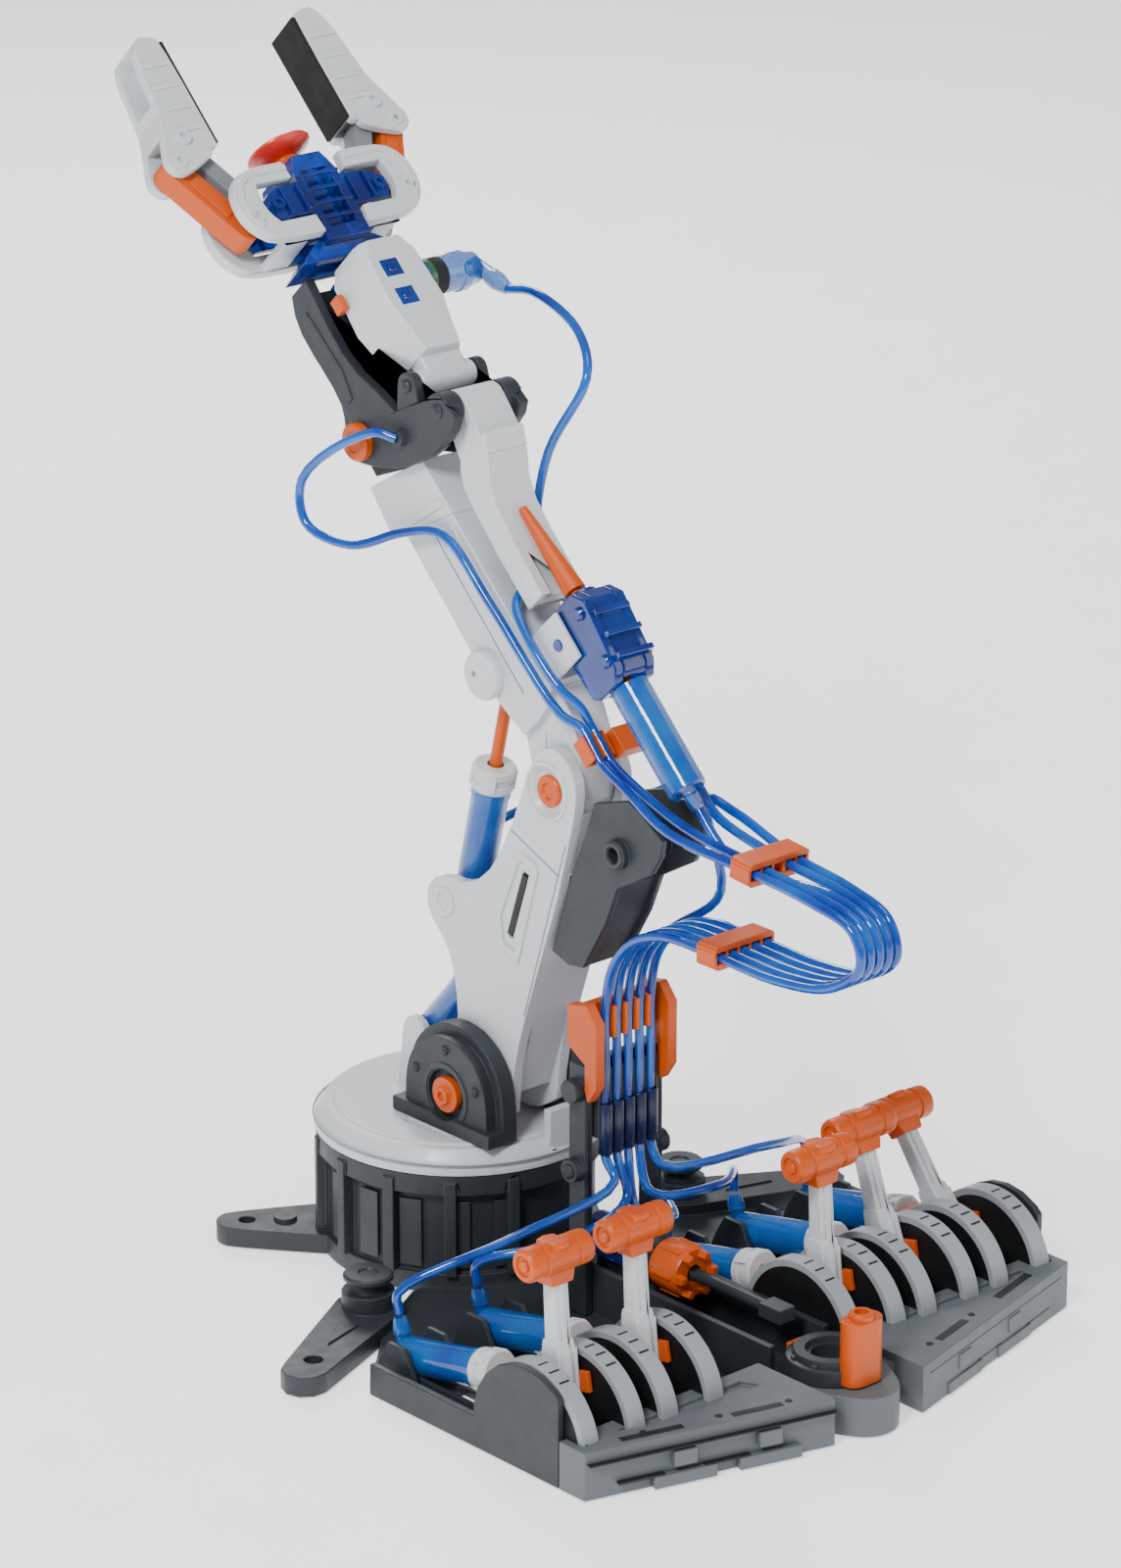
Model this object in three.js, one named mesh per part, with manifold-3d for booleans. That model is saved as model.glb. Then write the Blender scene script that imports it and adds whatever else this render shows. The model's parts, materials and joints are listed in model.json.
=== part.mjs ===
// Hydraulic robot arm kit: a lever console, a turntable and a five-joint arm with a gripper.
// Units are millimetres. +Z is up, +Y is where the arm reaches, -Y is the operator's side.
// The origin is on the floor, under the turntable's axis.
import * as THREE from 'three';
import { mergeVertices } from 'three/addons/utils/BufferGeometryUtils.js';
import Module from 'manifold-3d';

const wasm = await Module();
wasm.setup();

// ---- driving dimensions ----
const GAP = 0.3;
const ARM_TILT = Math.PI / 4;
const SHOULDER = [-20, 65];
const ELBOW = [-58, 179.5];
const HEAD = [85.6, 359];
const PITCH_PIN = [132.3, -8.4];
const LINK_PIN = [118, -48.5];
const LOWER_LENGTH = Math.hypot(ELBOW[0] - SHOULDER[0], ELBOW[1] - SHOULDER[1]);
const LOWER_LEAN = Math.atan2(SHOULDER[0] - ELBOW[0], ELBOW[1] - SHOULDER[1]);
const TURNTABLE = { r: 50, top: 52.5, bottom: 43.3 };
const DRUM = { r: 48, top: 43 };
const CONSOLE = { left: -104, right: 112, front: -178, back: -75, deck: 16.5, split: -166 };
const NOSE = { y: -180, r: 19, bulgeY: -195, bulgeR: 12, top: 13.5, edge: -203.5 };
const LEVER = { y: -150, z: 9.5, grip: 58.5, arcZ: 11.3, arcR: 24.6, slot: 6.5, band: 13 };
const LEVERS = [[-88, 3.9], [-54.5, 3.9], [27, 3.9], [60.5, 19.8], [94, 37.5]];
const CYLINDER_R = 6.3;
const ROD_R = 2.3;
const BORE_R = 2.8;
const CONTROL = { y: -76, z: 9.4, slope: 0.215, barrel: 37, cap: 46 };
const TOWER = { y: -82, legs: [13.8, 17.2], comb: [66, 92], clamp: [80, 114], channel: 5 };
const HOSE_R = 1.6;
const SHOULDER_CYL = { foot: [12, 74], top: [62, 6], barrel: 38, rod: 42 };
const ELBOW_CYL = { foot: [55, 32], top: [44.4, -1.1], barrel: 50, rod: 54 };
const JAW = { p1: [32, -22.5], p2: [21.5, -19.5], link: [14, 27.5], pad: 28.5 };

// ---- materials ----
const PLASTICS = {
  white: ['#e9ecec', 0.42], dark: ['#4b5358', 0.5], deck: ['#7d8487', 0.5], black: ['#1b1d20', 0.6],
  orange: ['#f2551c', 0.38], blue: ['#1e6fd0', 0.15], hose: ['#3fb6ea', 0.2], red: ['#d9261c', 0.4],
  grey: ['#8b9296', 0.45],
};

// ---- solids ----
function solid(geometry) {
  const bare = geometry.clone();
  bare.deleteAttribute('normal');
  bare.deleteAttribute('uv');
  const merged = mergeVertices(bare, 1e-4);
  const mesh = new wasm.Mesh({
    numProp: 3,
    vertProperties: new Float32Array(merged.attributes.position.array),
    triVerts: new Uint32Array(merged.index.array),
  });
  mesh.merge();
  return new wasm.Manifold(mesh);
}

function union(...parts) {
  return parts.reduce((a, b) => a.add(b));
}

function cut(body, ...tools) {
  return tools.reduce((a, b) => a.subtract(b), body);
}

function box(x0, x1, y0, y1, z0, z1) {
  const g = new THREE.BoxGeometry(x1 - x0, y1 - y0, z1 - z0);
  g.translate((x0 + x1) / 2, (y0 + y1) / 2, (z0 + z1) / 2);
  return solid(g);
}

function extrude(points, depth, matrix) {
  const shape = new THREE.Shape(points.map(([u, v]) => new THREE.Vector2(u, v)));
  const g = new THREE.ExtrudeGeometry(shape, { depth, bevelEnabled: false, steps: 1 });
  return solid(g.applyMatrix4(matrix));
}

function basis(x, y, z, origin) {
  const m = new THREE.Matrix4().makeBasis(
    new THREE.Vector3(...x), new THREE.Vector3(...y), new THREE.Vector3(...z));
  return m.setPosition(new THREE.Vector3(...origin));
}

// Outline in (y, z), from x0 to x1.
function plateX(points, x0, x1) {
  return extrude(points, x1 - x0, basis([0, 1, 0], [0, 0, 1], [1, 0, 0], [x0, 0, 0]));
}

// The same plate on both sides of the middle plane.
function pairX(points, x0, x1) {
  return union(plateX(points, x0, x1), plateX(points, -x1, -x0));
}

// Outline in (x, y), from z0 to z1.
function plateZ(points, z0, z1) {
  return extrude(points, z1 - z0, new THREE.Matrix4().makeTranslation(0, 0, z0));
}

function rod(p, q, r0, r1 = r0, sides = 10) {
  const a = new THREE.Vector3(...p);
  const b = new THREE.Vector3(...q);
  const axis = b.clone().sub(a);
  const g = new THREE.CylinderGeometry(r1, r0, axis.length(), sides);
  g.applyQuaternion(new THREE.Quaternion().setFromUnitVectors(
    new THREE.Vector3(0, 1, 0), axis.clone().normalize()));
  g.translate(...a.add(b).multiplyScalar(0.5).toArray());
  return solid(g);
}

function rodX([y, z], r, x0, x1, sides = 12) {
  return rod([x0, y, z], [x1, y, z], r, r, sides);
}

function rodZ([x, y], r, z0, z1, sides = 16) {
  return rod([x, y, z0], [x, y, z1], r, r, sides);
}

function tube(path, r, sides, steps) {
  const points = path.map((p) => new THREE.Vector3(...p));
  const curve = new THREE.CatmullRomCurve3(points, false, 'centripetal');
  const ring = circle(0, 0, r, sides).map(([u, v]) => new THREE.Vector2(u, v));
  return solid(new THREE.ExtrudeGeometry(new THREE.Shape(ring), { steps, extrudePath: curve }));
}

// ---- outlines ----
function circle(u, v, r, n = 10) {
  return Array.from({ length: n }, (_, i) => {
    const a = (i / n) * 2 * Math.PI;
    return [u + r * Math.cos(a), v + r * Math.sin(a)];
  });
}

function cross(o, a, b) {
  return (a[0] - o[0]) * (b[1] - o[1]) - (a[1] - o[1]) * (b[0] - o[0]);
}

function half(points) {
  const out = [];
  for (const p of points) {
    while (out.length > 1 && cross(out[out.length - 2], out[out.length - 1], p) <= 1e-9) out.pop();
    out.push(p);
  }
  return out.slice(0, -1);
}

function hull(...groups) {
  const points = groups.flat().sort((a, b) => a[0] - b[0] || a[1] - b[1]);
  return [...half(points), ...half([...points].reverse())];
}

// Frames in the arm's plane: s runs along the piece, t towards the front.
function frame([y, z], lean) {
  const u = [Math.sin(lean), Math.cos(lean)];
  return (s, t) => [y + u[0] * s + u[1] * t, z + u[1] * s - u[0] * t];
}

const L = frame(SHOULDER, -LOWER_LEAN);
const U = frame(ELBOW, ARM_TILT);
const H = frame(HEAD, ARM_TILT);
const at = (f, points) => points.map(([s, t]) => f(s, t));
const inX = ([y, z], x = 0) => [x, y, z];
const ring = (f, [s, t], r, n) => circle(...f(s, t), r, n);

// ---- scene graph ----
const arm = new THREE.Group();
const gripper = new THREE.Group();
gripper.position.set(0, ...HEAD);
gripper.rotation.x = -ARM_TILT;
arm.add(gripper);

function geometryOf(body) {
  const { vertProperties, triVerts, numProp } = body.getMesh();
  const g = new THREE.BufferGeometry();
  const count = vertProperties.length / numProp;
  const position = new Float32Array(count * 3);
  for (let i = 0; i < count; i += 1) {
    position.set(vertProperties.subarray(i * numProp, i * numProp + 3), i * 3);
  }
  g.setAttribute('position', new THREE.BufferAttribute(position, 3));
  g.setIndex(new THREE.BufferAttribute(new Uint32Array(triVerts), 1));
  g.computeVertexNormals();
  return g;
}

function add(name, plastic, body, parent = arm) {
  const [color, roughness] = PLASTICS[plastic];
  const material = new THREE.MeshStandardMaterial({ color, roughness, metalness: 0 });
  const mesh = new THREE.Mesh(geometryOf(body), material);
  mesh.name = name;
  parent.add(mesh);
}

// ---- base ----
function foot(angle, reach) {
  const c = Math.cos(angle);
  const s = Math.sin(angle);
  const pad = plateZ(hull(circle(c * 40, s * 40, 15), circle(c * reach, s * reach, 8)), 0, 7);
  return cut(pad, rodZ([c * (reach - 3), s * (reach - 3)], 3, -1, 8, 8));
}

function baseShell() {
  const ribs = [100, 125, 150, 175, 200, 225, 250].map((deg) => {
    const a = (deg * Math.PI) / 180;
    const g = new THREE.BoxGeometry(5, 4, 34);
    g.rotateZ(a).translate(47.6 * Math.cos(a), 47.6 * Math.sin(a), 24);
    return solid(g);
  });
  const drum = union(
    rodZ([0, 0], DRUM.r - 2, 0, DRUM.top, 28),
    rodZ([0, 0], DRUM.r, 0, 7, 28),
    rodZ([0, 0], DRUM.r + 1.5, 36, DRUM.top, 28),
    ...ribs, foot(2.44, 76), foot(0.7, 76));
  const hollow = cut(rodZ([0, 0], 41, -1, 37, 20), rodZ([0, 0], 9, -2, 38, 10));
  return cut(drum, hollow);
}
add('base_shell', 'dark', baseShell());

function halfDisc(x0, x1, r) {
  const disc = rodX([LEVER.y, LEVER.arcZ], r, x0, x1, 22);
  return cut(disc, box(x0 - 1, x1 + 1, -190, -110, -30, 3 + GAP));
}

function sideFoot(side) {
  const pad = union(
    plateZ(hull(circle(side * 70, -34, 12), circle(side * 116, -57, 8)), 0, 7),
    rodZ([side * 70, -34], 9, 0, 13), rodZ([side * 70, -34], 5.5, 0, 17));
  return cut(pad, rodZ([side * 110, -54], 3.2, -1, 8, 8));
}

function chassis() {
  const { left, right, back, split } = CONSOLE;
  const plan = [[left, back], [left, split + GAP], [right, split + GAP], [right, back], [70, -42],
    [46, -28], [-46, -28], [-70, -42]];
  const walls = [left, right - 2.5].map((x) => union(
    box(x, x + 2.5, split + GAP, back, 1, 11),
    cut(rodX([LEVER.y, LEVER.arcZ], LEVER.arcR, x, x + 2.5, 22),
      box(x - 1, x + 4, -190, split + GAP, -30, 40), box(x - 1, x + 4, -190, -110, -30, 1))));
  const valley = [-13.4, 10.8].map((x) => box(x, x + 2.6, split + GAP, -60, 1, 20));
  const ears = LEVERS.flatMap(([x]) => [-9.4, 7.4].map((d) => plateX(
    hull(circle(-80, 10, 8, 6), [[-92, 1], [-68, 1]]), x + d, x + d + 2)));
  const body = union(plateZ(plan, 0, 3), ...walls, ...valley, ...ears, sideFoot(-1), sideFoot(1));
  const windows = LEVERS.map(([x]) => box(x - 6, x + 6, -128, -96, -1, 4));
  return cut(body, rodZ([0, 0], 50.5, -1, 30, 28), ...windows);
}
add('control_chassis', 'dark', chassis());

function deck() {
  const { left, right, front, split, deck: top } = CONSOLE;
  const slope = (front - NOSE.edge) / (right - 18.5);
  const wing = (end, side) => [[side * 18.5, split], [end, split], [end, front],
    [side * 18.5, front - slope * Math.abs(end - side * 18.5)]];
  const bars = union(
    plateZ(wing(left, -1), 0, top), plateZ(wing(right, 1), 0, top),
    cut(plateZ(hull(circle(0, NOSE.y, NOSE.r, 20), circle(0, NOSE.bulgeY, NOSE.bulgeR, 12)), 0, NOSE.top),
      box(-30, 30, split, -150, -1, 30)),
    box(-20, 20, -190, split, 0, NOSE.top));
  const bands = LEVERS.flatMap(([x]) => [
    halfDisc(x - LEVER.band, x - LEVER.slot, LEVER.arcR),
    halfDisc(x + LEVER.slot, x + LEVER.band, LEVER.arcR)]);
  const slits = [[-86, -32], [34, 96]].map(([a, b]) => plateZ(
    [[a, -172], [b, -172], [b - 3 * Math.sign(a), -178], [a + 14, -178]], top - 1.5, top + 1));
  const recess = union(
    rodZ([0, NOSE.y], 15.2, NOSE.top - 5, 40, 18), box(-15.5, 15.5, -176, split + 1, NOSE.top - 5, 40));
  const endClear = [left - 1, right - 2.5 - GAP].map((x) => box(x, x + 3.5 + GAP, split, -100, -1, 50));
  return cut(union(bars, ...bands), ...slits, recess, ...endClear);
}
add('control_deck', 'deck', deck());

// ---- hose tower ----
function comb() {
  const { y, legs, comb: [z0, z1], channel } = TOWER;
  const columns = [-1, 1].map((side) => {
    const [a, b] = legs.map((v) => v * side).sort((p, q) => p - q);
    return union(box(a, b, y, y + 8, 3 + GAP, z1),
      ...[55, 83].map((z) => rod([side * 16, y + 4, z], [side * 21, y + 4, z], 4.4, 4.4, 8)));
  });
  const plate = box(-15, 15, y + 2, y + 6, z0, z1);
  const teeth = [-2.5, -1.5, -0.5, 0.5, 1.5, 2.5].map((i) => box(
    i * channel - 0.6, i * channel + 0.6, y - 2, y + 3, z0, z1 - 2));
  return union(...columns, plate, ...teeth);
}
add('hose_comb', 'dark', comb());

function clamp() {
  const { y, clamp: [z0, z1], comb: [, low], channel } = TOWER;
  const rails = [-1, 1].map((side) => plateX(
    [[y - 2, z0], [y - 0.4, z0 + 4], [y - 0.4, low + 1], [y + 8, low + 6], [y + 8, z1 - 2], [y - 1, z1],
      [y - 6, z1 - 6], [y - 6, z0 + 6]], ...[side * 14, side * 18].sort((a, b) => a - b)));
  const back = box(-15, 15, y + 2.4, y + 6, low + 6, z1 - 2);
  const fins = [-1.5, -0.5, 0.5, 1.5].map((i) => box(
    i * channel - 0.7, i * channel + 0.7, y - 4, y + 3, z1 - 13, z1 - 2));
  return cut(union(...rails, back, ...fins), box(-19.2, 19.2, y - GAP, y + 9, z0 - 1, low + GAP));
}
add('hose_clamp', 'orange', clamp());

// ---- levers, control cylinders and their rods ----
const slopeAngle = Math.atan(CONTROL.slope);
const C = ([, y, z], d, h = 0) => [y - d * Math.cos(slopeAngle) + h * Math.sin(slopeAngle),
  z + d * Math.sin(slopeAngle) + h * Math.cos(slopeAngle)];

function lever(x, leanDeg) {
  const f = frame([LEVER.y, LEVER.z], (leanDeg * Math.PI) / 180);
  const side = at(f, [[0, -5], [8, -5.5], [12, -4.2], [30, -3.2], [54, -3], [54, 3], [30, 3.4], [12, 4.8],
    [8, 5.5], [0, 5]]);
  const grip = f(LEVER.grip, 0);
  return union(
    plateX(side, x - 3.6, x + 3.6),
    rodX([LEVER.y, LEVER.z], 5, x - 5.8, x + 5.8, 10),
    rodX(grip, 5.6, x - 13, x + 13, 12),
    plateX(hull(circle(...f(LEVER.grip - 6, 0), 4, 8), circle(...grip, 4, 8)), x - 5, x + 5));
}

function controlCylinder(x) {
  const o = [x, CONTROL.y, CONTROL.z];
  const p = (d, h) => inX(C(o, d, h), x);
  const body = union(
    rod(p(0), p(CONTROL.barrel), CYLINDER_R), rod(p(CONTROL.barrel - 1), p(CONTROL.cap), 7.2),
    rod(p(-2, -2.4), p(-2, 13), 2.3, 2.3, 8));
  return cut(body, rod(p(8), p(CONTROL.cap + 1), BORE_R, BORE_R, 8));
}

function controlRod(x, leanDeg) {
  const shift = 15 * Math.sin((leanDeg * Math.PI) / 180);
  const o = [x, ...C([x, CONTROL.y, CONTROL.z], -shift)];
  const flat = (d0, d1, h) => [C(o, d0, -h), C(o, d1, -h), C(o, d1, h), C(o, d0, h)];
  const blade = plateX(flat(58, 65.5, 4.5), x - 5.9, x + 5.9);
  const tines = [-5.9, 4.1].map((a) => plateX(flat(65, 84, 3.5), x + a, x + a + 1.8));
  return union(rod(inX(C(o, 26), x), inX(C(o, 60), x), ROD_R, ROD_R, 8), blade, ...tines);
}
LEVERS.forEach(([x, lean], i) => {
  add(`lever_${i + 1}`, 'white', lever(x, lean));
  add(`control_cylinder_${i + 1}`, 'blue', controlCylinder(x));
  add(`control_rod_${i + 1}`, 'orange', controlRod(x, lean));
});

// ---- crank for turning the base ----
function crank() {
  const tail = box(-3.5, 3.5, NOSE.y + 8, NOSE.y + 17, 14, 18);
  const oval = hull(circle(-3, -193.5, 4.6, 12), circle(3, -193.5, 4.6, 12));
  const body = union(rodZ([0, NOSE.y], 14.5, 9, 21), tail, plateZ(oval, 14, 38));
  return cut(body, rodZ([0, NOSE.y], 6.5, 8, 22, 16), rodZ([0, -193.5], 2.6, 32, 40, 8));
}
add('crank', 'orange', crank());
const crankBody = union(
  rod([0, -69, 25], [0, -103, 25], 7.4), rod([0, -102, 25], [0, -116, 25], 8.6),
  ...[0, 1, 2, 3, 4, 5].map((i) => {
    const a = (i * Math.PI) / 3;
    const [x, z] = [7 * Math.cos(a), 25 + 7 * Math.sin(a)];
    return rod([x, -115, z], [x, -119, z], 1.5, 1.5, 4);
  }), box(-3, 3, -100, -72, 3 + GAP, 20));
add('crank_cylinder', 'orange', cut(crankBody, rod([0, -76, 25], [0, -120, 25], BORE_R, BORE_R, 8)));
add('crank_rod', 'orange', union(
  rod([0, -90, 25], [0, -152, 25], ROD_R, ROD_R, 8), box(-3.5, 3.5, -160, -150, 22.5, 27.5)));

// ---- turntable and shoulder ----
function turntable() {
  const { r, top, bottom } = TURNTABLE;
  const profile = [[0, bottom], [r, bottom], [r, bottom + 3.5], [r - 4, top - 0.8], [r - 6.5, top - 0.8],
    [r - 7, top], [0, top]].map(([u, v]) => new THREE.Vector2(u, v));
  const disc = solid(new THREE.LatheGeometry(profile, 30).rotateX(Math.PI / 2));
  const block = box(-3, 18, -49, -45.6, bottom + 1, 62);
  const [fy, fz] = SHOULDER_CYL.foot;
  const ears = pairX(hull(circle(fy, fz, 6, 12), [[fy - 9, top - 1], [fy + 9, top - 1]]), 7.2, 10.2);
  const slot = box(-29, -26.3, -24, -4, top - 3, top + 1);
  return cut(union(disc, cut(block, cut(rodZ([0, 0], 70, 40, 70, 12), rodZ([0, 0], r, 39, 71, 30))), ears),
    slot);
}
add('turntable', 'white', turntable());

function bearing(side) {
  const [y, z] = SHOULDER;
  const floor = TURNTABLE.top + GAP;
  const span = (a, b) => [side * a, side * b].sort((p, q) => p - q);
  const arch = (r, n) => hull(circle(y, z, r, n), [[y - r, floor], [y + r, floor]]);
  const body = union(
    plateX(arch(20.5, 18), ...span(19, 24)), plateX(arch(24, 18), ...span(13.2, 19.5)),
    box(...span(13.2, 26), y - 24, y + 25, floor, floor + 5));
  return cut(body, box(...span(12, 30), y - 40, y + 40, 30, floor), rodX(SHOULDER, 4.3, ...span(12, 30)),
    rodX(SHOULDER, 9, ...span(21.5, 30)));
}
add('shoulder_bearing_left', 'dark', bearing(-1));
add('shoulder_bearing_right', 'dark', bearing(1));
add('shoulder_pin', 'orange', union(
  rodX(SHOULDER, 4, -24.5, 24.5), rodX(SHOULDER, 6.4, -24.5, -21.8), rodX(SHOULDER, 6.4, 21.8, 24.5)));

// ---- lower arm ----
function lowerArm() {
  const cheek = at(L, [[-10, -6], [-7, -13], [2, -20], [19, -16], [39, -15.5], [88, -16], [114, -14.5],
    [127, -13.2], [134, -8.5], [137.2, -1], [135, 5.5], [129, 9], [121, 10.3], [101, 11.4], [77.5, 15],
    [66, 26], [64.5, 33], [60, 40], [53, 41.5], [46.5, 38], [42, 28], [36, 21.5], [20, 13], [6, 12.5],
    [-6, 11], [-10, 3]]);
  const web = plateX(at(L, [[6, -12], [6, -15.5], [39, -15.5], [88, -16], [97, -15.5], [97, -12]]), -9, 9);
  const slot = plateX(at(L, [[62, -1.4], [88, -1.4], [88, 1.4], [62, 1.4]]), -14, -11);
  return cut(union(pairX(cheek, 8, 12.5), web), slot,
    rodX(SHOULDER, 4.3, -14, 14), rodX(ELBOW, 5.3, -14, 14), rodX(ELBOW, 8.5, -14, -10.5));
}
add('lower_arm', 'white', lowerArm());
add('elbow_pin', 'orange', union(rodX(ELBOW, 5, -12, 12), rodX(ELBOW, 8.2, -12.2, -10.8)));

function rearBracket() {
  const side = at(L, [[68, -17.5], [68, -26], [71, -32.5], [92, -37], [106.5, -38], [120, -50], [128, -52],
    [134, -51], [137, -40], [138, -33], [128, -19], [117, -19], [97, -17.5]]);
  const body = union(pairX(side, 8, 10.5), plateX(at(L, [[70, -31], [92, -35.8], [106, -36.8],
    [106, -34], [92, -33], [70, -28]]), -9, 9),
  plateX(at(L, [[68, -17.5], [97, -17.5], [97, -19.5], [68, -19.5]]), -9, 9),
  rodX(L(118.7, -35), 5, -13, 13, 14));
  return cut(body, rodX(L(118.7, -35), 2.8, -14, 14, 10));
}
add('rear_bracket', 'dark', rearBracket());

// ---- arm cylinders: a barrel that swings on its foot and a rod that slides in it ----
function swingingCylinder(a, b, barrel, rodLength) {
  const A = new THREE.Vector3(...inX(a));
  const B = new THREE.Vector3(...inX(b));
  const axis = B.clone().sub(A).normalize();
  const length = A.distanceTo(B);
  const p = (d) => A.clone().addScaledVector(axis, d).toArray();
  const body = union(
    rodX(a, 5, -6.8, 6.8, 12), rod(p(0), p(barrel - 8), CYLINDER_R),
    rod(p(barrel - 8.5), p(barrel), 7.2));
  return {
    barrel: cut(body, rod(p(6), p(barrel + 1), BORE_R, BORE_R, 8)),
    rod: union(rod(p(length - rodLength), p(length), ROD_R, ROD_R, 8), rodX(b, 3.6, -4, 4, 12)),
  };
}
const lift = swingingCylinder(SHOULDER_CYL.foot, L(...SHOULDER_CYL.top), SHOULDER_CYL.barrel,
  SHOULDER_CYL.rod);
add('shoulder_cylinder', 'blue', lift.barrel);
add('shoulder_rod', 'orange', lift.rod);
const bend = swingingCylinder(L(...ELBOW_CYL.foot), U(...ELBOW_CYL.top), ELBOW_CYL.barrel, ELBOW_CYL.rod);
add('elbow_cylinder', 'blue', bend.barrel);
add('elbow_rod', 'orange', bend.rod);

// ---- upper arm ----
function upperArm() {
  const neck = hull(circle(...ELBOW, 11), at(U, [[26, -1], [26, -25], [8, -22]]));
  const trunk = at(U, [[20, -2], [34, 1], [101, 0.5], [101, -24.5], [34, -25], [24, -25], [20, -18]]);
  const collar = at(U, [[92, -25.5], [99, -2], [103.5, 6.5], [121, 4.2], [113, -25.5]]);
  const body = union(plateX(neck, -7.5, 7.5), plateX(trunk, -11, 11), plateX(collar, -11.6, 11.6),
    rodX(U(...ELBOW_CYL.top), 8.4, -13, 13));
  const saddle = union(
    plateX(at(U, [[25, -20], [42, -20], [42, -28.5], [25, -28.5]]), -10.6, 10.6),
    pairX(at(U, [[25, -24], [42, -24], [42, -44], [25, -44]]), 9, 10.6));
  const slot = plateX(at(U, [[32, -12], [58, -12], [58, 12], [32, 12]]), -5.2, 5.2);
  return cut(union(body, saddle), slot, rodX(ELBOW, 5.3, -9, 9));
}
add('upper_arm', 'white', upperArm());
add('wrist_clevis', 'black', cut(
  plateX(hull(ring(U, PITCH_PIN, 7), at(U, [[121.8, -1], [119.6, -17]])), -11.3, 11.3),
  plateX(at(U, [[100, 20], [121.3, 4.5], [113.3, -25.2], [100, -40]]), -12, 12),
  rodX(U(...PITCH_PIN), 3.9, -12, 12)));
add('wrist_pin', 'orange', union(
  rodX(U(...PITCH_PIN), 3.6, -17, 17), rodX(U(...PITCH_PIN), 6.2, -19, -16.3)));

const CLIP_X = [-11.4, -7.4, -3.4];

function armClip() {
  const plate = plateX(at(U, [[-5, -24.6], [4, -24.6], [4, -30.5], [-5, -30.5]]), -14.4, 11);
  const grooves = CLIP_X.map((x) => plateX(
    at(U, [[-6, -26], [11, -26], [11, -31], [-6, -31]]), x - 1.95, x + 1.95));
  return cut(plate, ...grooves);
}
add('arm_clip', 'orange', armClip());

// ---- wrist pitch drive ----
function pitchLink() {
  const side = hull(ring(U, LINK_PIN, 6), at(U, [[104, -38], [98, -52]]));
  const beam = at(U, [[50, -31.5], [92, -31.5], [101, -35], [106, -41], [104, -55], [96, -50], [86, -41.5],
    [50, -41.5]]);
  const body = union(plateX(side, -8.6, 8.6), plateX(beam, -8.6, 8.6));
  const window_ = plateX(at(U, [[47, -38], [82, -38], [82, -50], [47, -50]]), -5.6, 5.6);
  const under = plateX(at(U, [[47, -33.5], [90, -33.5], [90, -28], [47, -28]]), -6.4, 6.4);
  return cut(body, window_, under);
}
add('pitch_link', 'white', pitchLink());

const PITCH_T = -46;
const alongUpper = (s, t = PITCH_T) => inX(U(s, t));
add('pitch_rod', 'orange', union(
  rod(alongUpper(0), alongUpper(50), ROD_R, ROD_R, 8),
  rod(alongUpper(46), alongUpper(80, -43.5), 4.2, 1.6, 8)));

function pitchCylinder() {
  const block = plateX(at(U, [[12, -37], [42, -35.5], [43, -40], [43, -53], [38, -57], [14, -54], [10, -50],
    [10, -40]]), -8.6, 8.6);
  const body = union(block, rod(alongUpper(-30), alongUpper(14), 6.6),
    rod(alongUpper(-36), alongUpper(-29), 2.4, 2.4, 8));
  return cut(body, rod(alongUpper(-12), alongUpper(50), BORE_R, BORE_R, 8),
    plateX(at(U, [[36, -41], [45, -41], [45, -51], [36, -51]]), -4.6, 4.6));
}
add('pitch_cylinder', 'blue', pitchCylinder());

// ---- forearm ----
function forearmShell() {
  const side = at(H, [[-42, 2], [-42, 12], [-52, 18], [-78, 15.5], [-87, 18.6], [-91, 24], [-99, 24.8],
    [-107, 17], [-113, 8], [-117, 2], [-121, -22], [-117, -29], [-109, -28], [-104, -20], [-99, -5],
    [-89, -2], [-72, 5]]);
  const ear = hull(ring(H, [-96, -16], 4.6, 12), at(H, [[-101, -4], [-108, -14]]));
  const web = plateX(at(H, [[-44, 9], [-44, 12.6], [-52, 17], [-80, 15], [-80, 12]]), -13, 13);
  const cheeks = pairX(ring(H, [-110.5, -23.1], 6.2), 9.2, 15.9);
  const bridge = plateX(at(H, [[-86, 12.2], [-80, 12], [-80, 15], [-86, 17]]), -13, 13);
  return cut(union(pairX(side, 12, 16), pairX(ear, 12.2, 15.8), web, bridge, cheeks),
    rodX(H(-96.2, 17), 3.9, -18, 18));
}
add('forearm_shell', 'dark', forearmShell());

function forearmCover() {
  const side = at(H, [[-46, -12], [-52, -6], [-72, -4], [-82, -4.8], [-89.3, -12], [-89.3, -21], [-86, -24],
    [-50, -23], [-46, -20]]);
  const inside = at(H, [[-40, -12], [-40, -2], [-89, -2], [-89, -15], [-84, -21], [-52, -20], [-48, -18]]);
  const tail = hull(ring(H, [-96, -16], 4, 12), at(H, [[-88, -12.5], [-88, -20]]));
  const windows = [-57, -68].map((s) => plateX(
    at(H, [[s - 3.5, -30], [s + 3.5, -30], [s + 3.5, -15], [s - 3.5, -15]]), -7, 1));
  return cut(union(cut(plateX(side, -14, 14), plateX(inside, -11.5, 11.5)), plateX(tail, -11.6, 11.6)),
    ...windows, rodX(H(-58, -12.5), 7, 8, 20));
}
add('forearm_cover', 'white', forearmCover());
const alongHead = (s, t) => inX(H(s, t));
add('gripper_cylinder', 'blue', union(
  rod(alongHead(-84, 2.4), alongHead(-46, 2.4), 6.2),
  rod(alongHead(-88, 2.4), alongHead(-83, 2.4), 2.2, 2.2, 8)));

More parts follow.
